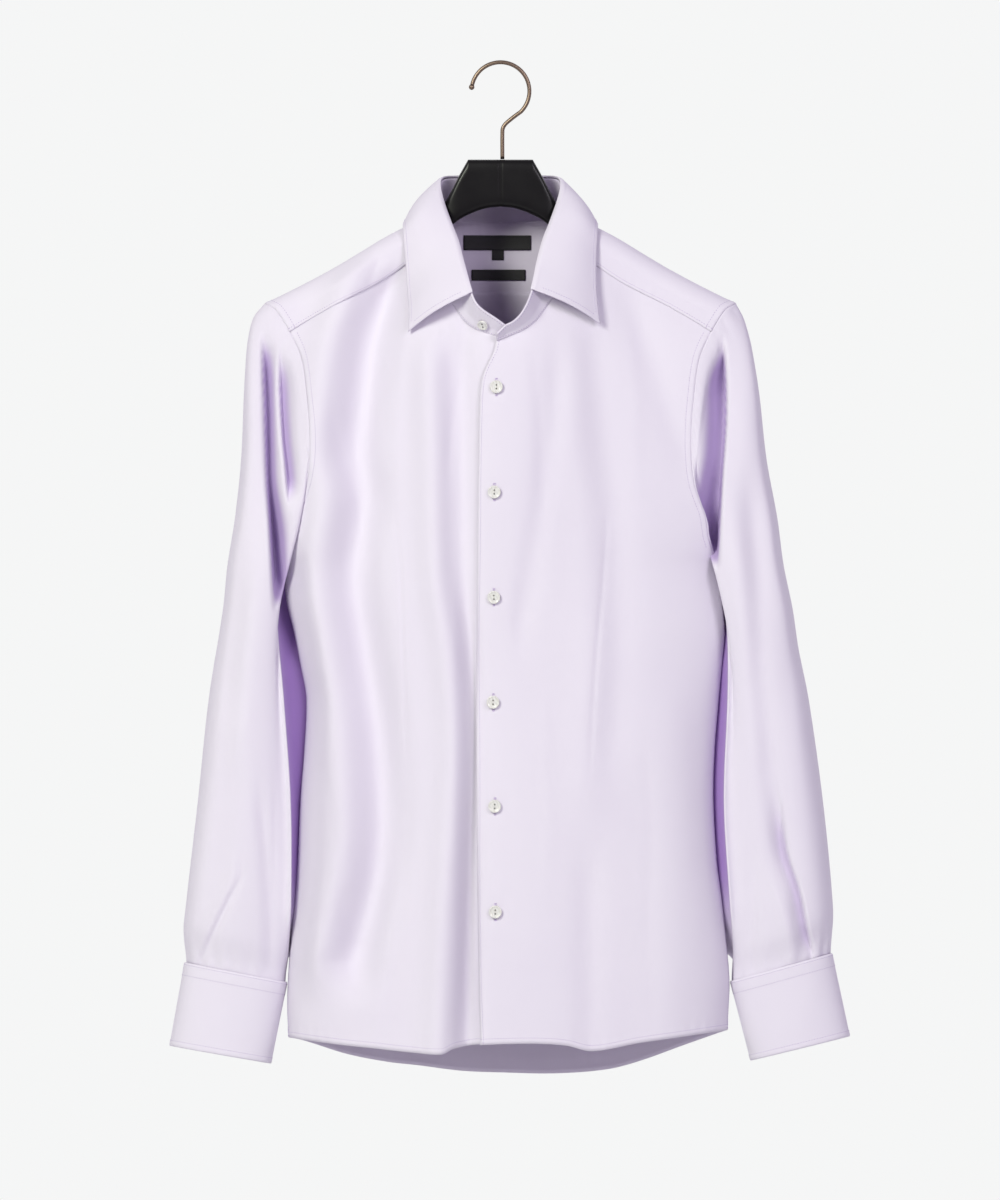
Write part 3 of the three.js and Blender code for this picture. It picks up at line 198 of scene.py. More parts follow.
# Sleeves: (z, outer, inner, half depth), with x counted outwards.
SLEEVE_RIGHT = [
    (-211, 209.5, 205, 20), (-214, 213.5, 200, 21), (-222, 218, 193, 24), (-233, 220.5, 187, 27),
    (-250, 223, 179, 31), (-290, 225.5, 171, 38), (-348, 228, 170, 43), (-400, 233.5, 182, 45),
    (-441, 240, 191.5, 45), (-480, 244, 197, 44), (-559, 256.5, 191, 40), (-648, 266, 185, 38),
    (-735, 276, 184.5, 35), (-775, 280, 186.5, 31), (-808, 279, 189, 25),
]
SLEEVE_LEFT = [
    (-211, 208, 203, 20), (-214, 210.5, 199, 21), (-222, 214, 193, 24), (-233, 217, 187, 27),
    (-250, 221, 179, 31), (-290, 227.5, 171, 38), (-348, 234, 170, 43), (-400, 243.5, 180.5, 45),
    (-441, 249, 192.5, 45), (-480, 257, 198, 44), (-514, 262, 200.4, 42), (-559, 271, 200.2, 40),
    (-648, 283.5, 197, 38), (-735, 292, 202, 35), (-775, 293, 205, 31), (-808, 292, 205, 25),
]
# The back layer of a sleeve reaches in behind the body by this much past its edge.
BEHIND_REACH = 20.0
EDGE_FORWARD, EDGE_BACK = 0.7, 0.22
# Heights between which that reach, the forward edge and the painted shade behind it come and go.
REACH_HEIGHTS = (-802, -765, -470, -430)
EDGE_HEIGHTS = (-800, -740, -540, -450)
SHADE_HEIGHTS = (-800, -700, -450, -400)
# The folds of a sleeve's back shrink to a fifth down these heights, where its placket is.
BACK_FADE = (-720, -640)
SLEEVE_FOLDS_RIGHT = [
    (4, 12, [(217, -290), (219, -365), (222, -480), (230, -600)]),
    (-3.5, 16, [(228, -470), (236, -560), (250, -690), (262, -770)]),
    (4, 15, [(250, -560), (262, -660), (272, -760)]),
    (-2.4, 3.4, [(228, -716), (238, -735), (248, -756), (258, -778), (263, -792)]),
    (2.0, 5, [(236, -716), (250, -745), (262, -770), (270, -790)]),
    (-2.6, 6, [(212, -640), (207, -690), (203, -750), (203, -795)]),
    (-0.9, 3, [(199, -648), (199, -680), (199, -716)]),
]
SLEEVE_FOLDS_LEFT = [
    (3, 12, [(214, -290), (212, -365), (214, -480), (226, -600)]),
    (-5, 12, [(219.6, -375), (226, -480), (230, -560), (241.6, -647), (247, -701)]),
    (4, 14, [(262, -560), (276, -660), (284, -750)]),
    (2.2, 6, [(240, -720), (250, -752), (258, -796)]),
    (-2.0, 6, [(222, -700), (220, -745), (222, -800)]),
]
# Valleys under an overhanging layer: depth, soft width inwards, width of the sharp side, path.
SLEEVE_GAPS_RIGHT = [
    (-17, 7.5, 2.8, [(208, -222), (207.4, -250), (206, -295), (203.7, -365), (200.5, -409),
                   (198.6, -444), (197, -478)]),
    (-12, 8, 2.4, [(191, -234), (192.7, -278), (190.5, -325), (187.4, -356), (184.5, -392)]),
    (-12, 15, 2.8, [(202.4, -360), (200.5, -409), (198.6, -444), (197, -486)]),
]
SLEEVE_GAPS_LEFT = [
    (-21, 15, 2.2, [(194, -226), (196, -262), (196.7, -313), (192.8, -374), (190.6, -420),
                    (190.4, -446)]),
    (-13, 26, 2.2, [(195, -340), (192.8, -374), (190.6, -420), (190.4, -446)]),
    (-8, 8.5, 2.0, [(244, -630), (250.4, -690.8), (261.8, -726.9), (268, -756.8),
                    (273.2, -782), (274, -796)]),
]
CUFF_RIGHT = dict(outer_top=(277.5, -791), inner_top=(188.5, -808.3),
                  outer_low=(290.8, -864.5), inner_low=(202.8, -880))
CUFF_LEFT = dict(outer_top=(291.4, -783), inner_top=(203, -807.4),
                 outer_low=(307.1, -856.2), inner_low=(221, -877.4))
CUFF_DEEP_TOP, CUFF_DEEP_LOW, CUFF_SINK = 26.0, 27.0, 1.6
PLACKET_TURN, PLACKET_WIDTH, PLACKET_FROM, PLACKET_TO = 0.672, 22.0, 0.69, 0.955
PLACKET_ROWS, PLACKET_COLUMNS, PLACKET_LIFT = 90, 15, 0.5
# How far the columns of a sleeve are drawn to its valley, and how far out from the seam it lies back.
FOLLOW_SPREAD, FOLLOW_CLOSE, LEVEL_REACH = 13.0, 3.2, 12.0

# Collar: top edge of the stand, (x, y, z), from a front end to the back.
STAND_TOP_BACK = [(33, -50, -176), (38.5, -36, -156), (44.5, -25, -141), (50.5, -11, -124),
                  (53, 2, -110), (51, 15, -102), (38, 33, -100), (0, 43, -100)]
STAND_TOP_RIGHT = [(6, -65.5, -231), (-4.5, -68.5, -223.5), (-15.7, -72, -216),
                   (-21.5, -73, -210), (-27, -65, -196)]
STAND_TOP_LEFT = [(-3.4, -71.5, -238), (4.5, -72.5, -230.1), (10.6, -73, -227),
                  (17, -73.5, -221), (23.5, -73.5, -210), (28.5, -65, -195)]
UNDER_NECK_X, OVER_NECK_X = 8.0, -3.4
LEAF_START, LEAF_END, LEAF_FORWARD = 0.092, 0.895, 0.045
LEAF_EDGE_RIGHT = [(81, -236, 7), (80.2, -218, 7.5), (81.5, -200, 7), (83.5, -172, 5.5)]
LEAF_EDGE_LEFT = [(87.5, -229, 9), (85.5, -214, 9.5), (84.2, -198, 8.5), (84, -172, 5.5)]
LEAF_EDGE_OVER = [(85.2, -14), (84.5, 4), (76, 18), (45, 31), (0, 40)]
LEAF_CLEAR, LEAF_BOW = 3.6, 5.0
# The leaf's roll over the stand: its rise, half its width and how far its far side comes down.
ROLL_RISE, ROLL_WIDTH, ROLL_DROP = 1.5, 2.15, 1.7

# Buttons: (x, z), and the sizes of their holes.
BUTTON_RADIUS, SMALL_BUTTON_RADIUS, BUTTON_THICK = 5.75, 4.8, 2.6
BUTTON_GAP, BUTTON_SIDES = 0.45, 56
FRONT_BUTTONS = [(-3.5, -284.7), (-5.3, -377), (-5.7, -469.5), (-6.2, -561.9), (-4.8, -653.4),
                 (-4.4, -746.2)]
COLLAR_BUTTON = (-14.5, -228.8)
HOLE_APART, HOLE_SIDES = 1.6, 14
HOLE_OUTLINE = [(0.001, 0.0), (0.72, 0.0), (0.72, -0.25), (0.001, -0.25)]
# Half the length of a buttonhole, and the step over which the cloth's slope is read.
HOLE_HALF, SLOPE_STEP = 7.4, 4.0
UPRIGHT = np.array([0, 0, 1.0])

# Labels inside the yoke: left, right, top, bottom, and how far they hang off it.
LABEL_CLOTH = 0.6
LABELS = [("neck_label", -32.3, 26.7, -150.2, -163.2, 1.35),
          ("size_label", -7.5, 2.9, -161.5, -172, 0.7),
          ("lower_label", -25.3, 21.9, -180.4, -189.9, 1.35)]

# Hanger: (x, top, low, half depth, squareness of the section).
HANGER = [
    (0, -84, -125.4, 10.5, 0.5), (14, -84, -127.2, 10.5, 0.5), (28.5, -84, -132.6, 10.5, 0.5),
    (37, -99, -137.4, 10.5, 0.5), (43, -111, -142.2, 10, 0.55), (49.5, -122.5, -148, 8.5, 0.7),
    (56, -134, -152.5, 7.5, 0.9), (66, -144, -160, 7.5, 1), (85, -151, -175, 12, 1),
    (125, -171.3, -200, 14, 1), (172, -197.5, -226, 13.5, 1), (188, -207, -231, 11, 1),
]
HANGER_BLOCK, HANGER_SIDES = 45, 96
WIRE, HOOK_SIDES = 3.6, 24
HOOK_RADIUS = WIRE / 2 + 23.7
HOOK_CENTRE_Z = WIRE / 2 - HOOK_RADIUS
HOOK_FREE_ANGLE, HOOK_LAST_ANGLE = 168, -46
STEM_X, STEM_BEND_Z, STEM_END_Z = 1.7, -55.0, -83.6
STEM_BEND = [(8.2, 7.2), (2.2, 1.8), (0.3, -1.8), (0, -6)]
BALL_RADIUS = 2.5

# Stitches, and the three rings of one: (share of its length, size, how far it is sunk).
STITCH_PITCH, STITCH_LENGTH, STITCH_RADIUS = 2.5, 2.0, 0.24
STITCH_START, STITCH_LIFT, STITCH_SAMPLES, STITCH_SIDES = 0.3, 0.03, 900, 4
STITCH_RINGS = ((0, 0.6, 0.9), (0.5, 1.1, 0), (1, 0.6, 0.9))

# Turned edges, (edge, width, thickness), and ripples, (edge, height, wave, reach, seed, free).
EDGES = [
    ("front_right", [("bottom", 5.0, 0.45)],
     [("bottom", 0.35, 11, 9, 1.0), ("end", 0.3, 9, 11, 2.0, 1.0)]),
    ("front_left", [("bottom", 5.0, 0.45)],
     [("bottom", 0.35, 11, 9, 1.0), ("end", 0.3, 9, 11, 2.0, 1.0)]),
    ("front_left", [("start", 3.6, 0.3)], [("start", 0.16, 8, 6, 3.0)]),
    ("back", [("bottom", 10.0, 0.45)], [("bottom", 0.4, 12, 14, 4.0)]),
    ("yoke", [], [("top", 0.22, 9, 8, 5.0), ("bottom", 0.25, 10, 9, 6.0)]),
    ("collar_leaf", [("bottom", 4.8, 0.22)], []),
    ("sleeve_right", [], [("top", 0.5, 12, 15, 6.0, 4.0), ("bottom", 0.7, 13, 22, 7.0)]),
    ("sleeve_left", [], [("top", 0.5, 12, 15, 8.0, 4.0), ("bottom", 0.7, 13, 22, 9.0)]),
    ("cuff_right", [("top", 11.6, 0.2), ("bottom", 5.2, 0.25)], [("top", 0.15, 9, 10, 8.0)]),
    ("cuff_left", [("top", 11.6, 0.2), ("bottom", 5.2, 0.25)], [("top", 0.15, 9, 10, 10.0)]),
]

# Topstitching: (sheet, edge, distance, first step, last step).
ARM_END, SIDE_FIRST = ARM_STEPS - 4, ARM_STEPS + 6
STITCHES = [
    ("body_stitches", [
        ("front_right", "bottom", 5.0), ("front_right", "end", 6.2, 2, ARM_END),
        ("front_left", "bottom", 5.0), ("front_left", "end", 6.2, 2, ARM_END),
        ("front_left", "start", 3.2), ("front_right", "end", 4.0, SIDE_FIRST),
        ("front_left", "end", 4.0, SIDE_FIRST), ("front_right", "end", 8.5, SIDE_FIRST),
        ("front_left", "end", 8.5, SIDE_FIRST), ("back", "bottom", 10.0),
        ("back", "start", 6.2, 2, ARM_END), ("back", "end", 6.2, 2, ARM_END),
        ("yoke", "top", 2.6, 0, YOKE_SEAM_STEPS - 2), ("yoke", "top", 2.6, 2 - YOKE_SEAM_STEPS),
        ("yoke", "bottom", 2.6), ("yoke", "start", 6.2), ("yoke", "end", 6.2)]),
    ("collar_stitches", [
        ("collar_leaf", "bottom", 4.6, 5, -5), ("collar_leaf", "start", 4.6, 11, -5),
        ("collar_leaf", "end", 4.6, 11, -5), ("collar_stand", "bottom", 2.4),
        ("collar_stand", "top", 2.4, 0, 36), ("collar_stand", "top", 2.4, -40)]),
    ("sleeve_stitches", [row for word in SIDES.values() for row in (
        (f"cuff_{word}", "top", 11.2), (f"cuff_{word}", "top", 2.0),
        (f"cuff_{word}", "bottom", 5.0), (f"sleeve_placket_{word}", "start", 1.6),
        (f"sleeve_placket_{word}", "end", 1.6))]),
]

# Colours of the cloth: the dye and its slow variation, and the painted shade, a deep violet mixed in
# where shade falls in valleys, gaps and insides.
LAVENDER, LAVENDER_DEEP = (0.735, 0.692, 0.784), (0.7, 0.65, 0.76)
PAINTED_SHADE_COLOUR = (0.36, 0.22, 0.54)

# Camera and light.
CAMERA_DISTANCE, SENSOR = 30.0, 36
FRAME_HEIGHT = 1.056
FLOOR_RADIUS, FLOOR_Z, FLOOR_SIDES = 2.0, -1.3, 128
ROOM_DIM, ROOM_PALE = 0.27, 0.93
ROOM_FRONT, ROOM_BACK = (0.86, 0.75, 1.0), (0.985, 0.99, 0.99)
KEY_POWER, FILL_POWER = 106, 45
KEY_COLOUR, FILL_COLOUR = (0.95, 1.0, 0.85), (0.92, 0.88, 0.95)
FRAME_CENTRE = Vector((-0.0004, -0.03, -0.4719))


def ease(low, high, value):
    share = np.clip((value - low) / (high - low), 0, 1)
    return share * share * (3 - 2 * share)


def mix(a, b, share):
    return a + (b - a) * share


def between(value, low, full_low, full_high, high):
    """1 between two limits, falling softly to 0 on both sides."""
    return ease(low, full_low, value) * (1 - ease(full_high, high, value))


def through(rows, key=0, value=1):
    """A smooth function through the rows of a table."""
    knots = sorted((row[key], row[value]) for row in rows)
    ks = np.array([k[0] for k in knots], float)
    vs = np.array([k[1] for k in knots], float)
    before = np.maximum(np.arange(len(ks)) - 1, 0)
    after = np.minimum(np.arange(len(ks)) + 1, len(ks) - 1)
    slope = (vs[after] - vs[before]) / (ks[after] - ks[before])

    def at(where):
        where = np.clip(np.asarray(where, float), ks[0], ks[-1])
        i = np.clip(np.searchsorted(ks, where, side="left") - 1, 0, len(ks) - 2)
        step = ks[i + 1] - ks[i]
        t = (where - ks[i]) / step
        rise = vs[i + 1] - vs[i]
        bend = (1 - t) * (slope[i] * step - rise) - t * (slope[i + 1] * step - rise)
        return vs[i] + t * rise + t * (1 - t) * bend

    return at


ridge_over = through(RIDGE)
edge_right = through(BODY_EDGE, 0, 1)
edge_left = through(BODY_EDGE, 0, 2)
armhole_x = through(ARMHOLE, 1, 0)
over_edge = through(OVER_EDGE)


def ridge(x):
    return ridge_over(np.abs(x))


def body_edge(x, z):
    return np.where(np.asarray(x) < 0, edge_right(z), edge_left(z))


def folds(rows, x, z):
    """The summed height of a table of folds."""
    total = np.zeros(np.broadcast(x, z).shape)
    for height, width, path in rows:
        line = through(path, 1, 0)
        high, low = path[0][1], path[-1][1]
        fade = 1.0 if low < FOLD_HEM else ease(low - FOLD_OUT[0], low + FOLD_OUT[1], z)
        away = (x - line(z)) / width
        start = 1 - ease(high - FOLD_IN, high + FOLD_IN, z)
        total = total + height * np.exp(-away * away) * fade * start
    return total


def gaps(rows, x, z):
    """Valleys with one sharp side, where a layer overhangs."""
    total = np.zeros(np.broadcast(x, z).shape)
    for height, soft, sharp, path in rows:
        line = through(path, 1, 0)
        high, low = path[0][1], path[-1][1]
        away = x - line(z)
        away = away / np.where(away < 0, soft, sharp)
        fade = between(z, low - VALLEY_OUT[0], low + VALLEY_OUT[1], high - VALLEY_IN, high)
        total = total + height * np.exp(-np.abs(away) ** VALLEY_POWER) * fade
    return total


def darts(x, z):
    """Sewn darts: a narrow valley that tapers to nothing at both ends."""
    total = np.zeros(np.broadcast(x, z).shape)
    for height, width, path in DARTS:
        line = through(path, 1, 0)
        share = np.clip((path[0][1] - z) / (path[0][1] - path[-1][1]), 0, 1)
        away = (x - line(z)) / width
        total = total + height * np.exp(-np.abs(away) ** DART_POWER) * np.sin(math.pi * share) ** 0.5
    return total


def softness(x, z, seed):
    """Slow unevenness of hanging cloth."""
    a = np.sin(x / 23.0 + 1.7 * np.sin(z / 91.0 + seed) + seed)
    b = np.sin(x / 11.0 + z / 67.0 + 2.1 * seed)
    c = np.sin(z / 31.0 + x / 40.0 + 0.7 * seed)
    return 0.42 * a + 0.12 * b + 0.12 * c


def depth(x, z, slope, full, bulge):
    """Depth of the cloth from the plane of the hanger."""
    drop = np.maximum(ridge(x) - z, 0)
    inner = np.minimum(drop, ARM_RADIUS)
    around = np.sqrt(inner * (2 * ARM_RADIUS - inner))
    below = np.maximum(drop - ARM_RADIUS, 0)
    room = full - ARM_RADIUS
    out = around + room * (1 - np.exp(-below * slope / room))
    share = np.clip(np.abs(x) / body_edge(x, z), 0, 1)
    side = (1 - share ** SIDE_POWER) ** SIDE_ROUND
    closing = mix(1, side, ease(SIDE_START, SIDE_END, drop))
    return (out + bulge * np.sin(inner / ARM_RADIUS * math.pi / 2)) * closing


def front_y(x, z, fine=True):
    x, z = np.asarray(x, float), np.asarray(z, float)
    bulge = CHEST * np.exp(-((x / CHEST_WIDTH) ** 2)) * mix(1, CHEST_LEFT, 1 - ease(*CHEST_HEIGHTS, z))
    bulge = bulge * ease(0, 90, ridge(x) - z)
    share = np.abs(x) / body_edge(x, z)
    stiff = PLACKET_STIFF * np.exp(-(((x - PLACKET_MIDDLE) / PLACKET_HALF) ** 4))
    fold = folds(FRONT_FOLDS, x, z)
    if fine:
        fold = fold + CREASE_SHARE * folds(FRONT_CREASES, x, z) + softness(x, z, 1.3)
    fold = fold * (1 - ease(FLAT_FROM, 1, share)) * (1 - stiff)
    fold = fold * np.where(fold < 0, ease(6, 50, ridge(x) - z), ease(0, 16, ridge(x) - z))
    if fine:
        fold = fold + darts(x, z)
    return -depth(x, z, FRONT_SLOPE, FRONT_FULL, bulge) - fold


def back_y(x, z, fine=True):
    x, z = np.asarray(x, float), np.asarray(z, float)
    bulge = NAPE * mix(1, NAPE_LEFT, 1 - ease(*NAPE_HEIGHTS, z)) * np.exp(-((x / NAPE_WIDTH) ** 2))
    share = np.abs(x) / body_edge(x, z)
    fold = folds(BACK_FOLDS, x, z)
    if fine:
        fold = fold + CREASE_SHARE * folds(BACK_CREASES, x, z) + softness(x, z, 4.1)
    fold = fold * (1 - ease(FLAT_FROM, 1, share))
    return depth(x, z, BACK_SLOPE, BACK_FULL, bulge) + fold


def drop_of(q):
    way = np.abs(q)
    turn = np.minimum(way, ARM_QUARTER) / ARM_RADIUS
    return ARM_RADIUS * (1 - np.cos(turn)) + np.maximum(way - ARM_QUARTER, 0)


def way_of(drop):
    turn = np.arccos(np.clip(1 - np.minimum(drop, ARM_RADIUS) / ARM_RADIUS, -1, 1))
    return ARM_RADIUS * turn + np.maximum(drop - ARM_RADIUS, 0)


def yoke_point(x, q, fine=True):
    x, q = np.asarray(x, float), np.asarray(q, float)
    z = ridge(x) - drop_of(q)
    y = np.where(q < 0, front_y(x, z, fine), back_y(x, z, fine))
    return np.stack([x, y, z], -1)


def armhole_over(q):
    """Distance of the armhole seam from the centre at a way over the ridge."""
    x = np.full(np.shape(q), TIP_X)
    for _ in range(12):
        x = mix(x, armhole_x(ridge(x) - drop_of(q)), 0.5)
    return x


def dense(points, steps=24):
    """A centripetal curve through the points, finely sampled."""
    p = np.array(points, float)
    p = np.vstack([2 * p[0] - p[1], p, 2 * p[-1] - p[-2]])
    out = []
    t = np.linspace(0, 1, steps, endpoint=False)[:, None]
    for a, b, c, d in zip(p, p[1:], p[2:], p[3:]):
        e, f, g = (max(np.linalg.norm(v - u), 1e-4) ** 0.5 for u, v in ((a, b), (b, c), (c, d)))
        m1 = ((b - a) / e - (c - a) / (e + f) + (c - b) / f) * f
        m2 = ((c - b) / f - (d - b) / (f + g) + (d - c) / g) * f
        out.append(b + m1 * t + (3 * (c - b) - 2 * m1 - m2) * t ** 2
                   + (2 * (b - c) + m1 + m2) * t ** 3)
    return np.vstack([*out, p[-2:-1]])


def travelled(line):
    """The way along a polyline at each of its points."""
    return np.concatenate([[0], np.cumsum(np.linalg.norm(np.diff(line, axis=0), axis=1))])


def along(line, shares):
    """Points at shares of a polyline's length."""
    way = travelled(line)
    where = np.asarray(shares, float) * way[-1]
    return np.stack([np.interp(where, way, line[:, k]) for k in range(line.shape[1])], -1)


def even(points, count):
    return along(dense(points), np.linspace(0, 1, count + 1))


def patch(top, low, start, end):
    """A patch between four edges that meet at its corners."""
    u = np.linspace(0, 1, len(top))[None, :, None]
    v = np.linspace(0, 1, len(start))[:, None, None]
    ruled = mix(top[None], low[None], v) + mix(start[:, None], end[:, None], u)
    return ruled - mix(mix(top[0], top[-1], u), mix(low[0], low[-1], u), v)


def normals(grid, wrap):
    if wrap:
        across = np.roll(grid, -1, 1) - np.roll(grid, 1, 1)
    else:
        across = np.gradient(grid, axis=1)
    n = np.cross(across, np.gradient(grid, axis=0))
    return n / np.maximum(np.linalg.norm(n, axis=2, keepdims=True), 1e-9)


class Cloth:
    """A sheet of cloth on a grid of points, with its outside to one side."""

    def __init__(self, grid, thickness, outside, wrap=False, painted_shade=None):
        self.grid = np.array(grid, float)
        # A share of painted shade at each point, which the material mixes into the dye.
        self.painted_shade = painted_shade
        self.thickness = thickness
        self.wrap = wrap
        self.normal = normals(self.grid, wrap)
        if float((self.normal * outside).sum()) < 0:
            self.normal = -self.normal

    def lay(self, rows, cols, lift=0.0):
        """Points on the outside at fractional rows and columns, and their normals."""
        n, m = self.grid.shape[:2]
        rows = np.clip(np.asarray(rows, float), 0, n - 1)
        cols = np.asarray(cols, float)
        cols = cols % m if self.wrap else np.clip(cols, 0, m - 1)
        i = np.minimum(rows.astype(int), n - 2)
        j = cols.astype(int) if self.wrap else np.minimum(cols.astype(int), m - 2)
        k = (j + 1) % m
        a, b = (rows - i)[:, None], (cols - j)[:, None]

        def blend(values):
            high = mix(values[i, j], values[i, k], b)
            low = mix(values[i + 1, j], values[i + 1, k], b)
            return mix(high, low, a)

        normal = blend(self.normal)
        normal = normal / np.maximum(np.linalg.norm(normal, axis=1, keepdims=True), 1e-9)
        return blend(self.grid) + normal * (self.thickness / 2 + lift), normal

    def from_edge(self, edge):
        """Distance of each point from an edge, and its way along that edge."""
        axis = 0 if edge in ("top", "bottom") else 1
        turned = edge in ("bottom", "end")
        grid = np.flip(self.grid, axis) if turned else self.grid
        step = np.linalg.norm(np.diff(grid, axis=axis), axis=2)
        lead = np.zeros_like(np.take(step, [0], axis))
        away = np.concatenate([lead, np.cumsum(step, axis=axis)], axis)
        away = np.flip(away, axis) if turned else away
        way = travelled(np.take(self.grid, -1 if turned else 0, axis))
        return away, (way[None, :] if axis == 0 else way[:, None])

    def fatten(self, edge, width, amount):
        """A turned edge, thicker up to its stitching."""
        away, _ = self.from_edge(edge)
        lift = amount * (1 - ease(width - 0.8, width + 0.8, away))
        self.grid = self.grid + self.normal * lift[..., None]

    def pucker(self, edge, amount, wave, reach, seed, free=0.0):
        """Fine ripples that sewing draws across an edge."""
        away, way = self.from_edge(edge)
        ripple = np.sin(way * 2 * math.pi / wave + 1.9 * np.sin(way / 29.0 + seed) + seed)
        ripple = ripple * (0.55 + 0.45 * np.sin(way / 17.0 + 2.3 * seed))
        lift = amount * ripple * np.exp(-((away / reach) ** 2)) * ease(free, free + 4.0, away)
        self.grid = self.grid + self.normal * lift[..., None]

    def settle(self):
        """Normals anew after the shape has changed."""
        old = self.normal
        self.normal = normals(self.grid, self.wrap)
        if float((self.normal * old).sum()) < 0:
            self.normal = -self.normal

    def mesh(self, name):
        """A closed mesh of the sheet, thinned to a soft edge all round."""
        n, m = self.grid.shape[:2]
        half = np.full((n, m, 1), self.thickness / 2)
        half[[0, -1]] *= EDGE_SHARE
        if not self.wrap:
            half[:, [0, -1]] *= EDGE_SHARE
        points = np.concatenate([(self.grid + self.normal * half).reshape(-1, 3),
                                 (self.grid - self.normal * half).reshape(-1, 3)])
        index = np.arange(n * m).reshape(n, m)
        if self.wrap:
            index = np.hstack([index, index[:, :1]])
        a, b = index[:-1, :-1], index[:-1, 1:]
        c, d = index[1:, 1:], index[1:, :-1]
        upper = np.stack([a, b, c, d], -1).reshape(-1, 4)
        lower = upper[:, ::-1] + n * m
        faces = [upper, lower]
        rims = [index[0], index[-1]]
        if not self.wrap:
            rims += [index[:, 0], index[:, -1]]
        for rim, turned in zip(rims, (False, True, True, False)):
            p, q = rim[:-1], rim[1:]
            if turned:
                p, q = q, p
            faces.append(np.stack([q, p, p + n * m, q + n * m], -1))
        piece = make_mesh(name, points, np.concatenate(faces))
        # Painted shade for the material: each point's own share on the outer face, and no less than a
        # fixed share on the inner face.
        painted_shade = np.zeros(n * m) if self.painted_shade is None else self.painted_shade.ravel()
        values = np.concatenate([painted_shade, np.maximum(painted_shade, INSIDE_SHADE_SHARE)]).astype(np.float32)
        shade = piece.data.attributes.new("painted_shade", "FLOAT", "POINT")
        shade.data.foreach_set("value", values)
        return piece


def put(name, data):
    made = bpy.data.objects.new(name, data)
    bpy.context.scene.collection.objects.link(made)
    return made


def new_piece(name, points, faces):
    data = bpy.data.meshes.new(name)
    data.from_pydata((np.asarray(points) * MM).tolist(), [], faces)
    data.update()
    data.polygons.foreach_set("use_smooth", [True] * len(data.polygons))
    return put(name, data)


def make_mesh(name, points, faces):
    piece = new_piece(name, points, np.asarray(faces).tolist())
    solid_side_out(piece.data)
    return piece


def solid_side_out(data):
    """Turns all faces of a closed mesh over if they point in."""
    data.calc_loop_triangles()
    co = np.array([v.co for v in data.vertices])
    tri = np.array([t.vertices for t in data.loop_triangles])
    a, b, c = co[tri[:, 0]], co[tri[:, 1]], co[tri[:, 2]]
    if float((a * np.cross(b, c)).sum()) < 0:
        data.flip_normals()


def side_rows(side, top, low, upper, lower):
    """Rows down the armhole, then down the side seam."""
    arm_z = np.linspace(top, ARMPIT_Z, upper + 1)
    seam_z = np.linspace(ARMPIT_Z, low, lower + 1)[1:]
    x = np.concatenate([armhole_x(arm_z), body_edge(side, seam_z)])
    return np.stack([side * x, np.concatenate([arm_z, seam_z])], -1)


def front_cloth(side):
    under = side < 0
    start = UNDER_EDGE_X if under else float(over_edge(NECK_FRONT_Z))
    corner = (start, NECK_FRONT_Z + NECK_TUCK)
    tip = (side * YOKE_SEAM[0][0], YOKE_SEAM[0][1])
    middle = [(side * (x - NECK_TUCK), z + NECK_TUCK) for x, z in NECK_FRONT[:-1]]
    neck = even([corner, *middle, tip], FRONT_NECK)
    seam = even(YOKE_SEAM, FRONT_SEAM)
    seam[:, 0] *= side
    neck[-1] = seam[0]
    top = np.vstack([neck, seam[1:]])
    top[FRONT_NECK:, 1] += TUCK
    top[FRONT_NECK - TUCK_RISE:FRONT_NECK, 1] += TUCK * np.linspace(0, 1, TUCK_RISE)
    across = len(top) - 1
    shares = np.sin(np.linspace(0, 1, across + 1) * FRONT_CROWD) / math.sin(FRONT_CROWD)
    low_x = mix(UNDER_EDGE_X if under else float(over_edge(HEM_Z)),
                side * float(body_edge(side, HEM_Z)), shares)
    low = np.stack([low_x, through(RIGHT_HEM if under else LEFT_HEM)(low_x)], -1)
    end = side_rows(side, top[-1, 1], low[-1, 1], ARM_STEPS, SIDE_STEPS)
    top[-1] = end[0]
    z = np.linspace(top[0, 1], low[0, 1], len(end))
    inner = np.stack([np.full(len(z), UNDER_EDGE_X) if under else over_edge(z), z], -1)
    inner[0], inner[-1] = top[0], low[0]
    flat = patch(top, low, inner, end)
    x, z = flat[..., 0], flat[..., 1]
    y = front_y(x, z)
    if under:
        y = y + LAP * ease(LAP_FROM, LAP_TO, x)
        y = y + SINK * np.exp(-(((x + 25) / 13) ** 2)) * (1 - ease(-760, -430, z))
    y = np.minimum(y, -0.1)
    y[ARM_STEPS:, -1] = -0.1
    tucked = np.zeros_like(y)
    tucked[:len(FRONT_TUCKED), FRONT_NECK - TUCK_RISE:] = np.array(FRONT_TUCKED)[:, None]
    return Cloth(np.stack([x, y + TUCK_DEPTH * tucked, z], -1), CLOTH, (0, -1, 0))


def back_seam_z(x):
    return BACK_YOKE_Z - BACK_YOKE_DROP * (x / ARMPIT_X) ** 2


BACK_CORNER_X = float(armhole_x(back_seam_z(armhole_x(back_seam_z(ARMPIT_X)))))


def back_cloth():
    shares = np.sin(np.linspace(-1, 1, BACK_ACROSS + 1) * BACK_CROWD) / math.sin(BACK_CROWD)
    top_x = shares * BACK_CORNER_X
    top = np.stack([top_x, back_seam_z(top_x) + TUCK], -1)
    low_x = shares * body_edge(shares, HEM_Z)
    low = np.stack([low_x, through(BACK_HEM)(low_x)], -1)
    start = side_rows(-1, top[0, 1], low[0, 1], ARM_STEPS, SIDE_STEPS)
    end = side_rows(1, top[-1, 1], low[-1, 1], ARM_STEPS, SIDE_STEPS)
    start[0], end[0] = top[0], top[-1]
    flat = patch(top, low, start, end)
    x, z = flat[..., 0], flat[..., 1]
    y = np.maximum(back_y(x, z), 0.1)
    y[ARM_STEPS:, [0, -1]] = 0.1
    tucked = np.zeros_like(y)
    tucked[:len(BACK_TUCKED)] = np.array(BACK_TUCKED)[:, None]
    return Cloth(np.stack([x, y - TUCK_DEPTH * tucked, z], -1), CLOTH, (0, 1, 0))


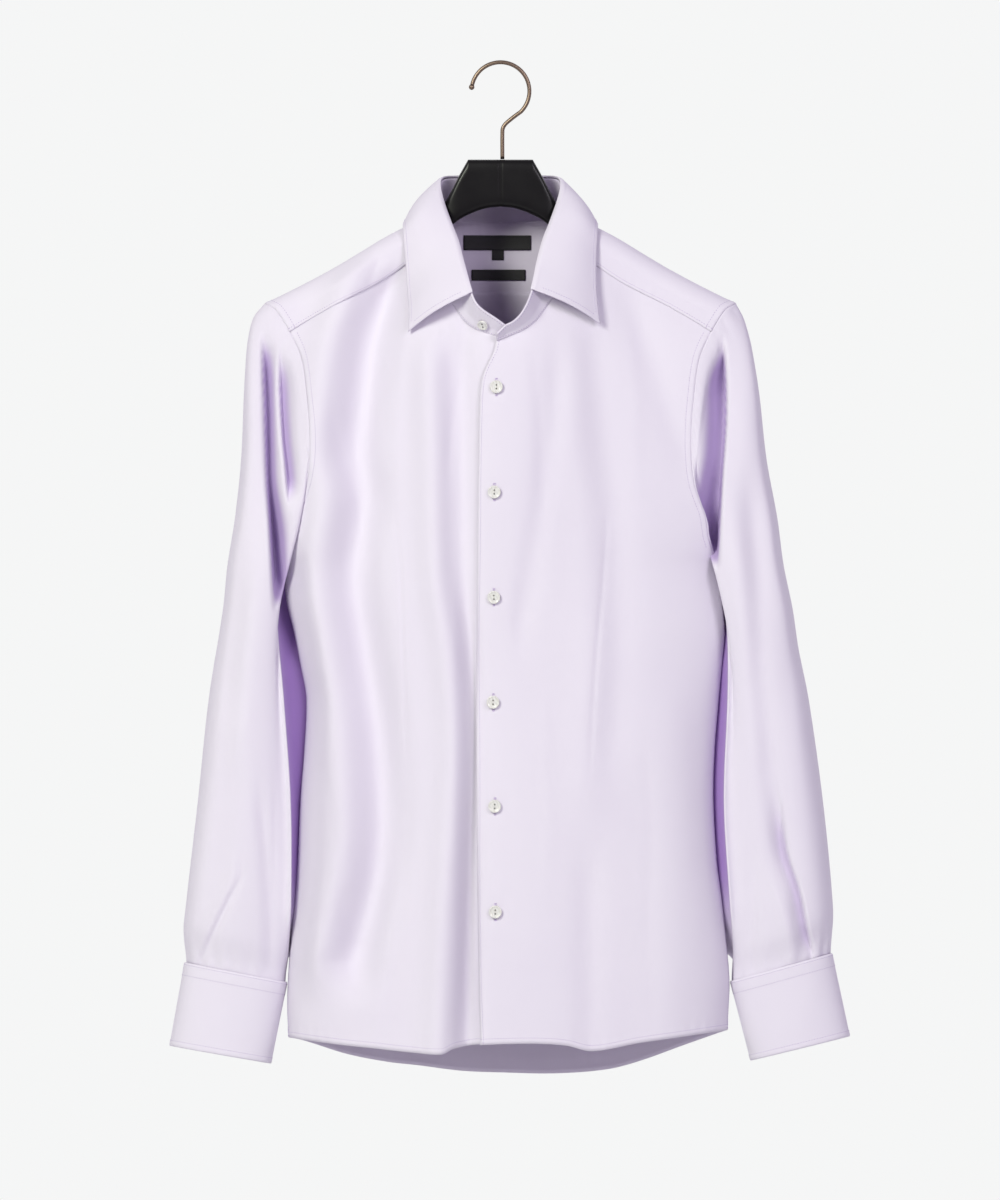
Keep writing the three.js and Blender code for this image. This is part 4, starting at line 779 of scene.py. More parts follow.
def yoke_cloth():
    seam = even(YOKE_SEAM, YOKE_SEAM_STEPS)
    seam_q = -way_of(ridge(seam[:, 0]) - seam[:, 1])
    over = [(-x + (NECK_TUCK if x > 1 else 0), q - (NECK_TUCK if q > 1 else 0)) for x, q in NECK_OVER]
    half = [(-seam[0, 0], seam_q[0]), *over]
    neck = even([*half, *[(-x, q) for x, q in half[-2::-1]]], 2 * YOKE_NECK_STEPS)
    right = np.stack([-seam[1:, 0], seam_q[1:]], -1)[::-1]
    left = np.stack([seam[1:, 0], seam_q[1:]], -1)
    top = np.vstack([right, neck, left])
    x = np.linspace(-1, 1, len(top)) * BACK_CORNER_X
    low = np.stack([x, way_of(ridge(x) - back_seam_z(x))], -1)
    q = np.linspace(top[0, 1], low[0, 1], YOKE_DOWN + 1)
    reach = armhole_over(q)
    start, end = np.stack([-reach, q], -1), np.stack([reach, q], -1)
    top[0], top[-1], low[0], low[-1] = start[0], end[0], start[-1], end[-1]
    flat = patch(top, low, start, end)
    grid = yoke_point(flat[..., 0], flat[..., 1])
    cloth = Cloth(grid, CLOTH, np.array([0, 0, 1.0]))
    cloth.grid = cloth.grid + cloth.normal * YOKE_LIFT
    return cloth


def armhole_loop(side, around):
    """Armpit, up the front seam, over the yoke and down the back seam."""
    upper = round(around * 0.35)
    over = around - 2 * upper
    top_z = YOKE_SEAM[-1][1]
    z = np.linspace(ARMPIT_Z, top_z, upper + 1)[:-1]
    x = armhole_x(z)
    front = np.stack([side * x, np.minimum(front_y(side * x, z), 0), z], -1)
    front[0, 1] = 0
    low_q = float(way_of(ridge(BACK_CORNER_X) - back_seam_z(BACK_CORNER_X)))
    high_q = -float(way_of(ridge(YOKE_SEAM[-1][0]) - top_z))
    q = np.linspace(high_q, low_q, over + 1)[:-1]
    middle = yoke_point(side * armhole_over(q), q)
    z = np.linspace(float(back_seam_z(BACK_CORNER_X)), ARMPIT_Z, upper + 1)[:-1]
    x = armhole_x(z)
    back = np.stack([side * x, np.maximum(back_y(side * x, z), 0), z], -1)
    return np.vstack([front, middle, back])


def follow(x, z, v, path, front):
    """Draws the columns of a sleeve's front to the sharp edge of its valley."""
    line = through(path, 1, 0)
    high, low = path[0][1], path[-1][1]
    level = (high + low) / 2
    row = np.abs(z[:, len(front) // 4] - level).argmin()
    away = np.where(front, np.abs(x[row] - line(z[row])), 1e9)
    near = int(away.argmin())
    share = between(z[:, near], low, low + 60, high - 22, high)[:, None] * ease(0, 0.03, v)
    centre = x[:, near:near + 1].copy()
    target = line(z[:, near])[:, None]
    shift = (target - centre) * share * np.exp(-(((x - centre) / FOLLOW_SPREAD) ** 2))
    x = x + np.where(front[None], shift, 0)
    apart = x - target
    close = np.abs(apart) < FOLLOW_CLOSE
    drawn = target + apart * np.abs(apart) / FOLLOW_CLOSE
    return np.where(front[None] & close, mix(x, drawn, share * 0.75), x)


def seam_depth(loop, grid):
    """The depth of the front armhole seam at the height of each point."""
    front = loop[1:len(loop) // 3]
    order = np.argsort(front[:, 2])
    return np.interp(grid[:, :, 2], front[order, 2], front[order, 1])


def sleeve_cloth(side):
    table = SLEEVE_RIGHT if side < 0 else SLEEVE_LEFT
    cuff = CUFF_RIGHT if side < 0 else CUFF_LEFT
    rows = SLEEVE_FOLDS_RIGHT if side < 0 else SLEEVE_FOLDS_LEFT
    deep_rows = SLEEVE_GAPS_RIGHT if side < 0 else SLEEVE_GAPS_LEFT
    outer, inner, deep = (through(table, 0, k) for k in (1, 2, 3))
    loop = armhole_loop(side, SLEEVE_AROUND)
    turn = (np.arange(SLEEVE_AROUND) / SLEEVE_AROUND)[None]
    # Rows crowd towards the seam, and facing is 1 at the back of the sleeve and -1 in front.
    v = np.linspace(0, 1, SLEEVE_DOWN + 1)[:, None] ** 1.25
    angle = 2 * math.pi * turn
    wide = (1 - np.cos(angle)) / 2
    facing = -np.sin(angle)
    low_z = mix(cuff["inner_top"][1], cuff["outer_top"][1], wide) - 2.5
    z = mix(loop[None, :, 2], low_z, v)
    # The rows leave the armhole's shape at once at the shoulder and the armpit, slowly between.
    power = (4 + 90 * np.exp(-((turn - 0.5) / 0.07) ** 2)
             + 30 * np.exp(-(np.minimum(turn, 1 - turn) / 0.06) ** 2))
    gone = 1 - (1 - v) ** power
    reach = np.maximum(inner(z) - body_edge(side, z) + BEHIND_REACH, 0)
    reach = reach * between(z, *REACH_HEIGHTS)
    inward = reach * ease(0.15, 0.6, facing) * (1 - ease(0.35, 0.85, wide))
    section = mix(inner(z), outer(z), wide) - inward
    last = ease(0.93, 1, v)
    cuff_x = mix(cuff["inner_top"][0], cuff["outer_top"][0], wide)
    cuff_x = mix(cuff_x, (cuff["inner_top"][0] + cuff["outer_top"][0]) / 2, 0.035)
    x = mix(np.abs(loop[None, :, 0]) + 0.2, mix(section, cuff_x, last), gone)
    x = follow(x, z, v, deep_rows[0][3], turn[0] < 0.5)
    around = np.abs(facing) ** 0.85 * np.sign(facing)
    # The inner edge is a fold that stands forward of the middle.
    lean = angle - 2 * math.pi * (turn > 0.5)
    forward = EDGE_FORWARD * deep(z) * np.exp(-(((lean + 0.1) / 0.5) ** 2))
    forward = forward - EDGE_BACK * deep(z) * np.exp(-(((lean + 0.95) / 0.42) ** 2))
    forward = forward * between(z, *EDGE_HEIGHTS)
    y = mix(loop[None, :, 1], around * mix(deep(z), CUFF_DEEP_TOP - CUFF_SINK, last), gone)
    y = y - forward
    fold = folds(rows, x, z) + 0.7 * softness(x * 1.3, z, 2.2 + side) * ease(0, 0.1, v)
    fold = fold * np.abs(facing) * (1 - ease(0.985, 1, v))
    fold = fold * np.where(facing > 0, mix(0.2, 1, ease(*BACK_FADE, z)), 1)
    y = y + fold * ease(0, 0.05, v) * np.sign(facing)
    # The valleys open a few rows below the seam, sooner near the wearer's left armpit.
    near = mix(0.06, 0.01, (side > 0) * (1 - ease(-385, -340, z)))
    valley = gaps(deep_rows, x, z) * ease(0, 0.5, -facing) * ease(near * 0.08, near, v)
    valley = np.where(facing < 0, valley, 0)
    y = y - valley
    # Painted shade: a mask over the sleeve's valleys and its back layer behind the body, where shade
    # falls, which the material turns into a deeper violet.
    behind = ease(-0.1, 0.3, facing) * (1 - ease(0.3, 0.6, wide)) * between(z, *SHADE_HEIGHTS)
    painted_shade = np.maximum(VALLEY_SHADE_SHARE * ease(2, 13, -valley), behind)
    painted_shade = np.vstack([painted_shade[:1], painted_shade])
    grid = np.stack([side * x, y, z], -1)
    centre = loop.mean(0)
    first = loop + (centre - loop) * 0.028
    first[:, 0] = loop[:, 0] - side * SLEEVE_TUCK
    first[:, 1] = loop[:, 1] - np.sign(loop[:, 1]) * np.minimum(np.abs(loop[:, 1]), SLEEVE_TUCK_DEPTH)
    # Beside the seam the sleeve lies back, level with the body, and rises only further out.
    beside = np.linalg.norm(grid[:, :, [0, 2]] - grid[:1, :, [0, 2]], axis=2)
    level = np.where(facing < 0, np.exp(-((beside / LEVEL_REACH) ** 2)) * ease(0.1, 0.4, -facing), 0)
    nearest = seam_depth(loop, grid)
    grid[:, :, 1] = mix(grid[:, :, 1], np.maximum(grid[:, :, 1], nearest), level)
    grid = np.vstack([first[None], grid])
    ring = grid - grid.mean(1, keepdims=True)
    cloth = Cloth(grid, CLOTH, ring, wrap=True, painted_shade=painted_shade)
    # Cloth that faces back is in the light, so the painted shade is taken off it.
    cloth.painted_shade = cloth.painted_shade * (1 - ease(0.05, 0.6, cloth.normal[..., 1]))
    return cloth


def cuff_cloth(side):
    cuff = CUFF_RIGHT if side < 0 else CUFF_LEFT
    v = np.linspace(0, 1, CUFF_DOWN + 1)[:, None]
    angle = 2 * math.pi * (np.arange(CUFF_AROUND) / CUFF_AROUND)[None]
    wide = (1 - np.cos(angle)) / 2
    x, z = (mix(mix(cuff["inner_top"][k], cuff["outer_top"][k], wide),
                mix(cuff["inner_low"][k], cuff["outer_low"][k], wide), v) for k in (0, 1))
    facing = -np.sin(angle)
    around = np.abs(facing) ** 0.8 * np.sign(facing)
    waves = 0.5 * np.sin(3 * angle + 2.2 * v + side) * np.sin(math.pi * v)
    y = around * (mix(CUFF_DEEP_TOP, CUFF_DEEP_LOW, v) + waves)
    grid = np.stack([side * x, y, z], -1)
    return Cloth(grid, FACED, grid - grid.mean(1, keepdims=True), wrap=True)


def neck_seam():
    def front(side):
        out = []
        for x, z in NECK_FRONT:
            lap = LAP * float(ease(LAP_FROM, LAP_TO, -x)) if side < 0 else 0
            out.append((side * x, float(front_y(side * x, z, False)) + lap, z))
        return out

    def over(side):
        return [tuple(yoke_point(side * x, q, False)) for x, q in NECK_OVER]

    def end(x, lap):
        return (x, float(front_y(x, NECK_FRONT_Z, False)) + lap, NECK_FRONT_Z)

    return [end(UNDER_NECK_X, LAP + 0.4), *front(-1), *over(-1), *over(1)[-2::-1],
            *front(1)[::-1], end(OVER_NECK_X, -0.4)]


def stand_top():
    right_back = [(-x, y, z) for x, y, z in STAND_TOP_BACK]
    return [*STAND_TOP_RIGHT, *right_back, *STAND_TOP_BACK[-2::-1], *STAND_TOP_LEFT[::-1]]


SEAM_CURVE, TOP_CURVE = dense(neck_seam()), dense(stand_top())


def middle_of(line):
    """The share of a neck curve's length at the middle of the back."""
    low, high = 0.3, 0.7
    for _ in range(30):
        middle = (low + high) / 2
        if along(line, [middle])[0, 0] < 0:
            low = middle
        else:
            high = middle
    return low


SEAM_MIDDLE, TOP_MIDDLE = middle_of(SEAM_CURVE), middle_of(TOP_CURVE)


def stand_points(t, height):
    """Places on the stand: t runs from the wearer's right end by the back to the left."""
    t = np.asarray(t, float)

    def on(line, middle):
        return along(line, np.clip(np.where(t < 0.5, 2 * t * middle, mix(middle, 1, 2 * t - 1)),
                                   0, 1))

    return mix(on(SEAM_CURVE, SEAM_MIDDLE), on(TOP_CURVE, TOP_MIDDLE), height)


def stand_cloth():
    t = np.linspace(0, 1, STAND_AROUND)
    heights = np.linspace(-0.06, 1, STAND_UP)
    grid = np.array([stand_points(t, h) for h in heights])
    outward = grid - np.array([0, -12, 0])
    outward[..., 2] = 0
    cloth = Cloth(grid, FACED, outward)
    # The lower edge stands out over the cloth that it is sewn to.
    lift = STAND_LIFT * (1 - ease(0, 0.35, heights))[:, None, None]
    cloth.grid = cloth.grid + unit(outward) * lift
    return cloth


def leaf_cloth():
    def front(side, edge):
        return [(side * x, float(front_y(side * x, z, False)) - off, z) for x, z, off in edge]

    def over(side):
        out = []
        for x, q in LEAF_EDGE_OVER:
            tilt = max(-math.pi / 2, min(math.pi / 2, q / ARM_RADIUS))
            lift = np.array([0, math.sin(tilt), math.cos(tilt)]) * LEAF_CLEAR
            out.append(tuple(yoke_point(side * x, q, False) + lift))
        return out

    edge = dense([*front(-1, LEAF_EDGE_RIGHT), *over(-1), *over(1)[-2::-1],
                  *front(1, LEAF_EDGE_LEFT)[::-1]])
    share = np.linspace(0, 1, LEAF_AROUND)
    t = np.where(share < 0.5, mix(LEAF_START, 0.5, 2 * share), mix(0.5, LEAF_END, 2 * share - 1))
    top = stand_points(t, 1)
    up = unit(top - stand_points(t, 0.7))
    ahead = unit(stand_points(t + 0.01, 1) - stand_points(t - 0.01, 1))
    out = unit(np.cross(ahead, up))
    flip = (out[:, 0] * top[:, 0] + out[:, 1] * (top[:, 1] + 20)) < 0
    out[flip] *= -1
    hang = top - 1.6 * up + 2 * ROLL_WIDTH * out
    last = along(edge, share - LEAF_FORWARD * np.sin(2 * math.pi * share))
    away = unit(np.cross(last - hang, ahead))
    away[((away * up).sum(1) + (away * out).sum(1)) < 0] *= -1
    rows = []
    for turn in np.linspace(0, math.pi * 0.9, LEAF_TURN):
        rows.append(top + up * (0.2 + ROLL_RISE * math.cos(turn * 0.5))
                    + out * ROLL_WIDTH * (1 - math.cos(turn))
                    - up * ROLL_DROP * (turn / math.pi) ** 3)
    first = rows[-1]
    for v in np.linspace(0, 1, LEAF_DOWN + 1)[1:]:
        rows.append(mix(first, last, v) + away * LEAF_BOW * math.sin(math.pi * v) ** 0.9)
    grid = np.array(rows)
    return Cloth(grid, FACED, np.broadcast_to(away, grid.shape))


def unit(v):
    return v / np.maximum(np.linalg.norm(v, axis=-1, keepdims=True), 1e-9)


def ring_faces(count, sides):
    """The faces between rings of points that are laid one after another."""
    return [(i * sides + j, i * sides + (j + 1) % sides, (i + 1) * sides + (j + 1) % sides,
             (i + 1) * sides + j) for i in range(count - 1) for j in range(sides)]


def end_faces(count, sides):
    """Strips of faces over the first ring and the last."""
    return [(first + j, first + j + 1, first + sides - j - 2, first + sides - j - 1)
            for first in (0, (count - 1) * sides) for j in range(sides // 2 - 1)]


def turns(sides):
    return np.linspace(0, 2 * math.pi, sides, endpoint=False)


def inset(cloth, edge, distance):
    """Fractional rows and columns of a path at a distance inside one edge of a sheet."""
    away, _ = cloth.from_edge(edge)
    upright, turned = edge in ("top", "bottom"), edge in ("bottom", "end")
    lines = away.T if upright else away
    if turned:
        lines = lines[:, ::-1]
    last = lines.shape[1] - 1
    found = np.array([np.interp(distance, line, np.arange(last + 1)) for line in lines])
    found = last - found if turned else found
    order = np.arange(len(lines), dtype=float)
    return (found, order) if upright else (order, found)


BAR_FACES = [*ring_faces(3, STITCH_SIDES), (3, 2, 1, 0), (8, 9, 10, 11)]
BAR_COS, BAR_SIN = np.cos(turns(STITCH_SIDES))[:, None], np.sin(turns(STITCH_SIDES))[:, None]


class Thread:
    """Short rounded bars, such as the stitches of a seam."""

    def __init__(self):
        self.points, self.faces = [], []

    def bar(self, start, end, normal, radius=STITCH_RADIUS):
        """One stitch, sunk at both ends."""
        axis = end - start
        length = np.linalg.norm(axis)
        axis = axis / length
        side = np.cross(normal, axis)
        side = side / max(np.linalg.norm(side), 1e-9)
        up = np.cross(axis, side)
        first = len(self.points) * STITCH_SIDES
        for share, size, sink in STITCH_RINGS:
            centre = start + axis * length * share - normal * radius * sink
            self.points.append(centre + radius * size * (BAR_COS * side + BAR_SIN * up))
        self.faces += [tuple(first + i for i in face) for face in BAR_FACES]

    def run(self, cloth, edge, distance, first=None, last=None):
        """A row of stitches at a distance inside an edge, from one step of it to another."""
        rows, cols = inset(cloth, edge, distance)
        if cloth.wrap:
            rows, cols = np.append(rows, rows[0]), np.append(cols, len(cols))
        rows, cols = rows[first:last], cols[first:last]
        fine = np.linspace(0, 1, STITCH_SAMPLES)
        steps = np.linspace(0, 1, len(rows))
        line, normal = cloth.lay(np.interp(fine, steps, rows), np.interp(fine, steps, cols), STITCH_LIFT)
        way = travelled(line)

        def at(where, values):
            return np.array([np.interp(where, way, values[:, k]) for k in range(3)])

        for begin in np.arange(STITCH_START, way[-1] - STITCH_LENGTH, STITCH_PITCH):
            facing = at(begin + STITCH_LENGTH / 2, normal)
            self.bar(at(begin, line), at(begin + STITCH_LENGTH, line),
                     facing / max(np.linalg.norm(facing), 1e-9))

    def make(self, name):
        return new_piece(name, np.vstack(self.points), self.faces)


def set_inputs(node, values):
    for key, value in values.items():
        node.inputs[key].default_value = value


def material(name, colour, roughness, metallic=0.0, **values):
    made = bpy.data.materials.new(name)
    made.use_nodes = True
    shader = made.node_tree.nodes["Principled BSDF"]
    set_inputs(shader, {"Base Color": (*colour, 1), "Roughness": roughness, "Metallic": metallic})
    set_inputs(shader, values)
    return made, made.node_tree, shader


def texture(tree, kind, stretch=(1, 1, 1), turn=0.0, bands="X", **values):
    """A texture on object coordinates, scaled and turned about the depth."""
    made = tree.nodes.new(f"ShaderNodeTex{kind}")
    set_inputs(made, values)
    if kind == "Wave":
        made.bands_direction = bands
    where = tree.nodes.new("ShaderNodeTexCoord")
    change = tree.nodes.new("ShaderNodeMapping")
    set_inputs(change, {"Scale": stretch, "Rotation": (0, turn, 0)})
    tree.links.new(where.outputs["Object"], change.inputs["Vector"])
    tree.links.new(change.outputs["Vector"], made.inputs["Vector"])
    return made.outputs["Fac"]


def span(tree, source, low, high, start=0.0, end=1.0, kind="LINEAR"):
    """A value carried from one range to another."""
    node = tree.nodes.new("ShaderNodeMapRange")
    node.interpolation_type = kind
    set_inputs(node, {"From Min": start, "From Max": end, "To Min": low, "To Max": high})
    tree.links.new(source, node.inputs["Value"])
    return node.outputs["Result"]


def colour_mix(tree, share, one, other):
    """A mix of two colours, each a fixed one or the output of a node."""
    node = tree.nodes.new("ShaderNodeMix")
    node.data_type = "RGBA"
    tree.links.new(share, node.inputs["Factor"])
    for socket, colour in ((node.inputs[6], one), (node.inputs[7], other)):
        if isinstance(colour, tuple):
            socket.default_value = (*colour, 1)
        else:
            tree.links.new(colour, socket)
    return node.outputs[2]


def two_tone(tree, source, dark, pale, target):
    ramp = tree.nodes.new("ShaderNodeValToRGB")
    ramp.color_ramp.elements[0].color = (*dark, 1)
    ramp.color_ramp.elements[1].color = (*pale, 1)
    tree.links.new(source, ramp.inputs["Fac"])
    tree.links.new(ramp.outputs["Color"], target)


def add_scaled(tree, source, scale, rest):
    node = tree.nodes.new("ShaderNodeMath")
    node.operation = "MULTIPLY_ADD"
    tree.links.new(source, node.inputs[0])
    node.inputs[1].default_value = scale
    tree.links.new(rest, node.inputs[2])
    return node.outputs[0]


def bump(tree, shader, height, strength, distance=0.0001):
    node = tree.nodes.new("ShaderNodeBump")
    set_inputs(node, {"Strength": strength, "Distance": distance})
    tree.links.new(height, node.inputs["Height"])
    tree.links.new(node.outputs["Normal"], shader.inputs["Normal"])


def cloth_material(name, colour, dark, weave=0.16):
    made, tree, shader = material(name, colour, 0.8, **{
        "Sheen Weight": 0.04, "Sheen Roughness": 0.4, "Sheen Tint": (0.78, 0.66, 0.95, 1),
        "Specular IOR Level": 0.08, "Specular Tint": (0.9, 0.84, 1.0, 1)})
    # Slow variation of the dye over a hand's width.
    cloud = texture(tree, "Noise", (1, 1, 0.6), Scale=9.0, Detail=4.0, Roughness=0.55)
    dye = colour_mix(tree, span(tree, cloud, 0.0, 0.55, 0.35, 0.75), colour, dark)
    # Painted shade: a deep violet is mixed into the dye by each point's share of painted shade, standing
    # in for shade and light bounced between the cloth's layers.
    inner = tree.nodes.new("ShaderNodeAttribute")
    inner.attribute_name = "painted_shade"
    shaded_dye = colour_mix(tree, inner.outputs["Fac"], dye, PAINTED_SHADE_COLOUR)
    tree.links.new(shaded_dye, shader.inputs["Base Color"])
    # Fine twill: steep diagonal ribs crossed by the yarns.
    ribs = texture(tree, "Wave", (1, 0.35, 1), math.radians(32), Scale=430.0, Distortion=0.6,
                   Detail=1.0)
    yarns = texture(tree, "Wave", bands="Z", Scale=620.0, Distortion=0.4, Detail=1.0)
    slub = texture(tree, "Noise", (1, 1, 0.3), Scale=260.0, Detail=3.0)
    height = add_scaled(tree, slub, 0.7, add_scaled(tree, yarns, 0.5, ribs))
    bump(tree, shader, height, weave, 0.00012)
    return made


def button_material():
    made, tree, shader = material("button_shell", (0.72, 0.71, 0.68), 0.28, **{
        "Coat Weight": 0.35, "Coat Roughness": 0.15, "Subsurface Weight": 0.15,
        "Subsurface Radius": (0.002, 0.0018, 0.0015)})
    swirl = texture(tree, "Wave", turn=0.4, Scale=120.0, Distortion=9.0, Detail=3.0)
    two_tone(tree, swirl, (0.66, 0.65, 0.62), (0.75, 0.745, 0.72), shader.inputs["Base Color"])
    return made


def hanger_material():
    made, tree, shader = material("hanger_lacquer", (0.006, 0.0055, 0.006), 0.28, **{
        "Specular IOR Level": 0.2, "Coat Weight": 0.06, "Coat Roughness": 0.2})
    bump(tree, shader, texture(tree, "Noise", Scale=900.0, Detail=2.0), 0.12)
    wear = texture(tree, "Noise", Scale=60.0, Detail=3.0)
    tree.links.new(span(tree, wear, 0.26, 0.42), shader.inputs["Roughness"])
    return made


def hook_material():
    made, tree, shader = material("hook_bronze", (0.33, 0.25, 0.19), 0.27, 1.0)
    patina = texture(tree, "Noise", Scale=28.0, Detail=1.5)
    two_tone(tree, patina, (0.2, 0.15, 0.115), (0.26, 0.19, 0.145), shader.inputs["Base Color"])
    tree.links.new(span(tree, patina, 0.34, 0.44), shader.inputs["Roughness"])
    return made


def label_material():
    made, tree, shader = material("label_satin", (0.011, 0.0095, 0.013), 0.55, **{
        "Specular IOR Level": 0.25, "Sheen Weight": 0.15})
    ribs = texture(tree, "Wave", bands="Z", Scale=700.0, Distortion=0.2)
    bump(tree, shader, ribs, 0.3)
    tree.links.new(span(tree, ribs, 0.42, 0.62), shader.inputs["Roughness"])
    return made


CLOTH_LOOK = cloth_material("lavender_twill", LAVENDER, LAVENDER_DEEP)
THREAD_LOOK = cloth_material("lavender_thread", (0.44, 0.35, 0.56), (0.40, 0.31, 0.52), 0.3)
SEWN_LOOK = cloth_material("button_thread", (0.78, 0.77, 0.75), (0.75, 0.74, 0.73), 0.2)
HOLE_THREAD_LOOK = cloth_material("buttonhole_thread", (0.58, 0.49, 0.69), (0.54, 0.45, 0.66), 0.3)
HOLE_LOOK = material("hole_shade", (0.1, 0.095, 0.09), 0.8)[0]
BUTTON_LOOK = button_material()
HANGER_LOOK = hanger_material()
HOOK_LOOK = hook_material()
LABEL_LOOK = label_material()


def finish_piece(piece, look, slot, *nodes):
    piece.data.materials.clear()
    piece.data.materials.append(look)
    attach(piece, "root")
    if nodes:
        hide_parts(*nodes)
    return piece


def set_camera():
    """A level camera far in front, with the photograph's frame."""
    data = bpy.data.cameras.new("camera")
    camera = put("camera", data)
    camera.location = FRAME_CENTRE + Vector((0, -CAMERA_DISTANCE, 0))
    camera.rotation_euler = (math.radians(90), 0, 0)
    data.sensor_fit = "AUTO"
    data.sensor_width = SENSOR
    data.lens = SENSOR * CAMERA_DISTANCE / FRAME_HEIGHT
    data.clip_start, data.clip_end = 0.1, 100
    bpy.context.scene.camera = camera


def area_light(name, place, target, size, power, colour):
    data = bpy.data.lights.new(name, "AREA")
    data.shape, data.size, data.size_y = "RECTANGLE", size[0], size[1]
    data.energy, data.color = power, colour
    light = put(name, data)
    light.location = place
    light.rotation_euler = (Vector(target) - Vector(place)).to_track_quat("-Z", "Y").to_euler()


def set_world():
    """A pale wall all round, with the room in front of the shirt a little dimmer."""
    scene = bpy.context.scene
    scene.view_settings.view_transform = "Standard"
    scene.world = bpy.data.worlds.new("world")
    scene.world.use_nodes = True
    tree = scene.world.node_tree
    wall = tree.nodes["Background"]
    way = tree.nodes.new("ShaderNodeTexCoord")
    split = tree.nodes.new("ShaderNodeSeparateXYZ")
    tree.links.new(way.outputs["Generated"], split.inputs["Vector"])
    ahead = split.outputs["Y"]
    strength = span(tree, ahead, ROOM_DIM, ROOM_PALE, -0.35, 0.75, "SMOOTHSTEP")
    tree.links.new(strength, wall.inputs["Strength"])
    tint = colour_mix(tree, span(tree, ahead, 0.0, 1.0, -0.2, 0.6), ROOM_FRONT, ROOM_BACK)
    tree.links.new(tint, wall.inputs["Color"])


def set_floor():
    data = bpy.data.meshes.new("floor")
    angles = turns(FLOOR_SIDES)
    rim = [(FLOOR_RADIUS * math.cos(a), FLOOR_RADIUS * math.sin(a), FLOOR_Z) for a in angles]
    data.from_pydata(rim, [], [tuple(range(FLOOR_SIDES))])
    floor = put("floor", data)
    floor.data.materials.append(material("floor_paper", (0.74, 0.74, 0.75), 0.85)[0])


set_camera()
set_world()
area_light("key", (-1.75, -3.05, 1.2), (0.02, 0, -0.45), (1.0, 1.2), KEY_POWER, KEY_COLOUR)
area_light("fill", (1.7, -2.9, 0.9), (0, 0, -0.4), (1.2, 1.2), FILL_POWER, FILL_COLOUR)
set_floor()

sheets = {"front_right": front_cloth(-1), "front_left": front_cloth(1), "back": back_cloth(),
          "yoke": yoke_cloth(), "collar_stand": stand_cloth(), "collar_leaf": leaf_cloth()}
for side, word in SIDES.items():
    sheets[f"sleeve_{word}"] = sleeve_cloth(side)
    sheets[f"cuff_{word}"] = cuff_cloth(side)
for name, turned, sewn in EDGES:
    for row in turned:
        sheets[name].fatten(*row)
    for row in sewn:
        sheets[name].pucker(*row)
    sheets[name].settle()


def sleeve_placket(sleeve):
    """The placket on the hidden back of a sleeve."""
    n, m = sleeve.grid.shape[:2]
    rows = np.linspace(PLACKET_FROM * (n - 1), PLACKET_TO * (n - 1), PLACKET_ROWS)
    middle, normal = sleeve.lay(rows, np.full(PLACKET_ROWS, PLACKET_TURN * m), PLACKET_LIFT)
    near, _ = sleeve.lay(rows, np.full(PLACKET_ROWS, PLACKET_TURN * m + 1), PLACKET_LIFT)
    across = unit(near - middle)
    lines = []
    for c in np.linspace(-0.5, 0.5, PLACKET_COLUMNS):
        lines.append(middle + across * PLACKET_WIDTH * c + normal * (0.3 + 2.2 * abs(c) ** 2))
    return Cloth(np.array(lines).transpose(1, 0, 2), CLOTH, (0, 1, 0))


for word in SIDES.values():
    sheets[f"sleeve_placket_{word}"] = sleeve_placket(sheets[f"sleeve_{word}"])
for name, cloth in sheets.items():
    finish_piece(cloth.mesh(f"{name}_cloth"), CLOTH_LOOK, "cloth", name)

for name, rows in STITCHES:
    thread = Thread()
    for row in rows:
        thread.run(sheets[row[0]], *row[1:])
    finish_piece(thread.make(name), THREAD_LOOK, "cloth")


def turned_piece(name, outline, sides, place, direction, offset=0.0):
    """An outline, (radius, height), turned about +Y and put in place, with +Z kept upright."""
    angle = turns(sides)
    rings = [np.stack([r * np.cos(angle), np.full(sides, y), r * np.sin(angle) + offset], -1)
             for r, y in outline]
    piece = make_mesh(name, np.vstack(rings), ring_faces(len(outline), sides))
    ahead = unit(np.asarray(direction, float))
    right = unit(np.cross(ahead, UPRIGHT))
    frame_rows = np.stack([right, ahead, np.cross(right, ahead)])
    data = piece.data
    co = np.array([v.co for v in data.vertices])
    data.vertices.foreach_set("co", (co @ frame_rows + np.asarray(place) * MM).ravel())
    data.update()
    solid_side_out(data)
    return piece


def button_outline(radius):
    """A turned button with a raised rim and a dished face."""
    half = BUTTON_THICK / 2
    return [(0.001, -half), (radius * 0.86, -half), (radius * 0.97, -half + 0.45),
            (radius, -half + 1.1), (radius * 0.99, half - 0.4), (radius * 0.94, half - 0.05),
            (radius * 0.88, half), (radius * 0.8, half - 0.1), (radius * 0.72, half - 0.5),
            (radius * 0.6, half - 0.62), (radius * 0.3, half - 0.66), (0.001, half - 0.66)]


def sew_button(name, node, radius, place, direction, cloth):
    """A button on its cloth, with two dark holes and the thread between them."""
    direction = unit(np.asarray(direction, float))
    centre = np.asarray(place) + direction * (cloth / 2 + BUTTON_GAP + BUTTON_THICK / 2)
    button = turned_piece(name, button_outline(radius), BUTTON_SIDES, centre, direction)
    finish_piece(button, BUTTON_LOOK, "buttons", node)
    face = centre + direction * (BUTTON_THICK / 2 - 0.6)
    for k, offset in enumerate((-HOLE_APART, HOLE_APART)):
        hole = turned_piece(f"{name}_hole_{k + 1}", HOLE_OUTLINE, HOLE_SIDES, face, direction, offset)
        finish_piece(hole, HOLE_LOOK, "buttons")
    thread = Thread()
    up = unit(np.cross(np.cross(direction, UPRIGHT), direction))
    right = np.cross(direction, up)
    for shift in (-0.14, 0.14):
        base = face + direction * 0.1 + right * shift
        thread.bar(base - up * 1.2, base + up * 1.2, direction, 0.12)
    finish_piece(thread.make(f"{name}_thread"), SEWN_LOOK, "cloth")


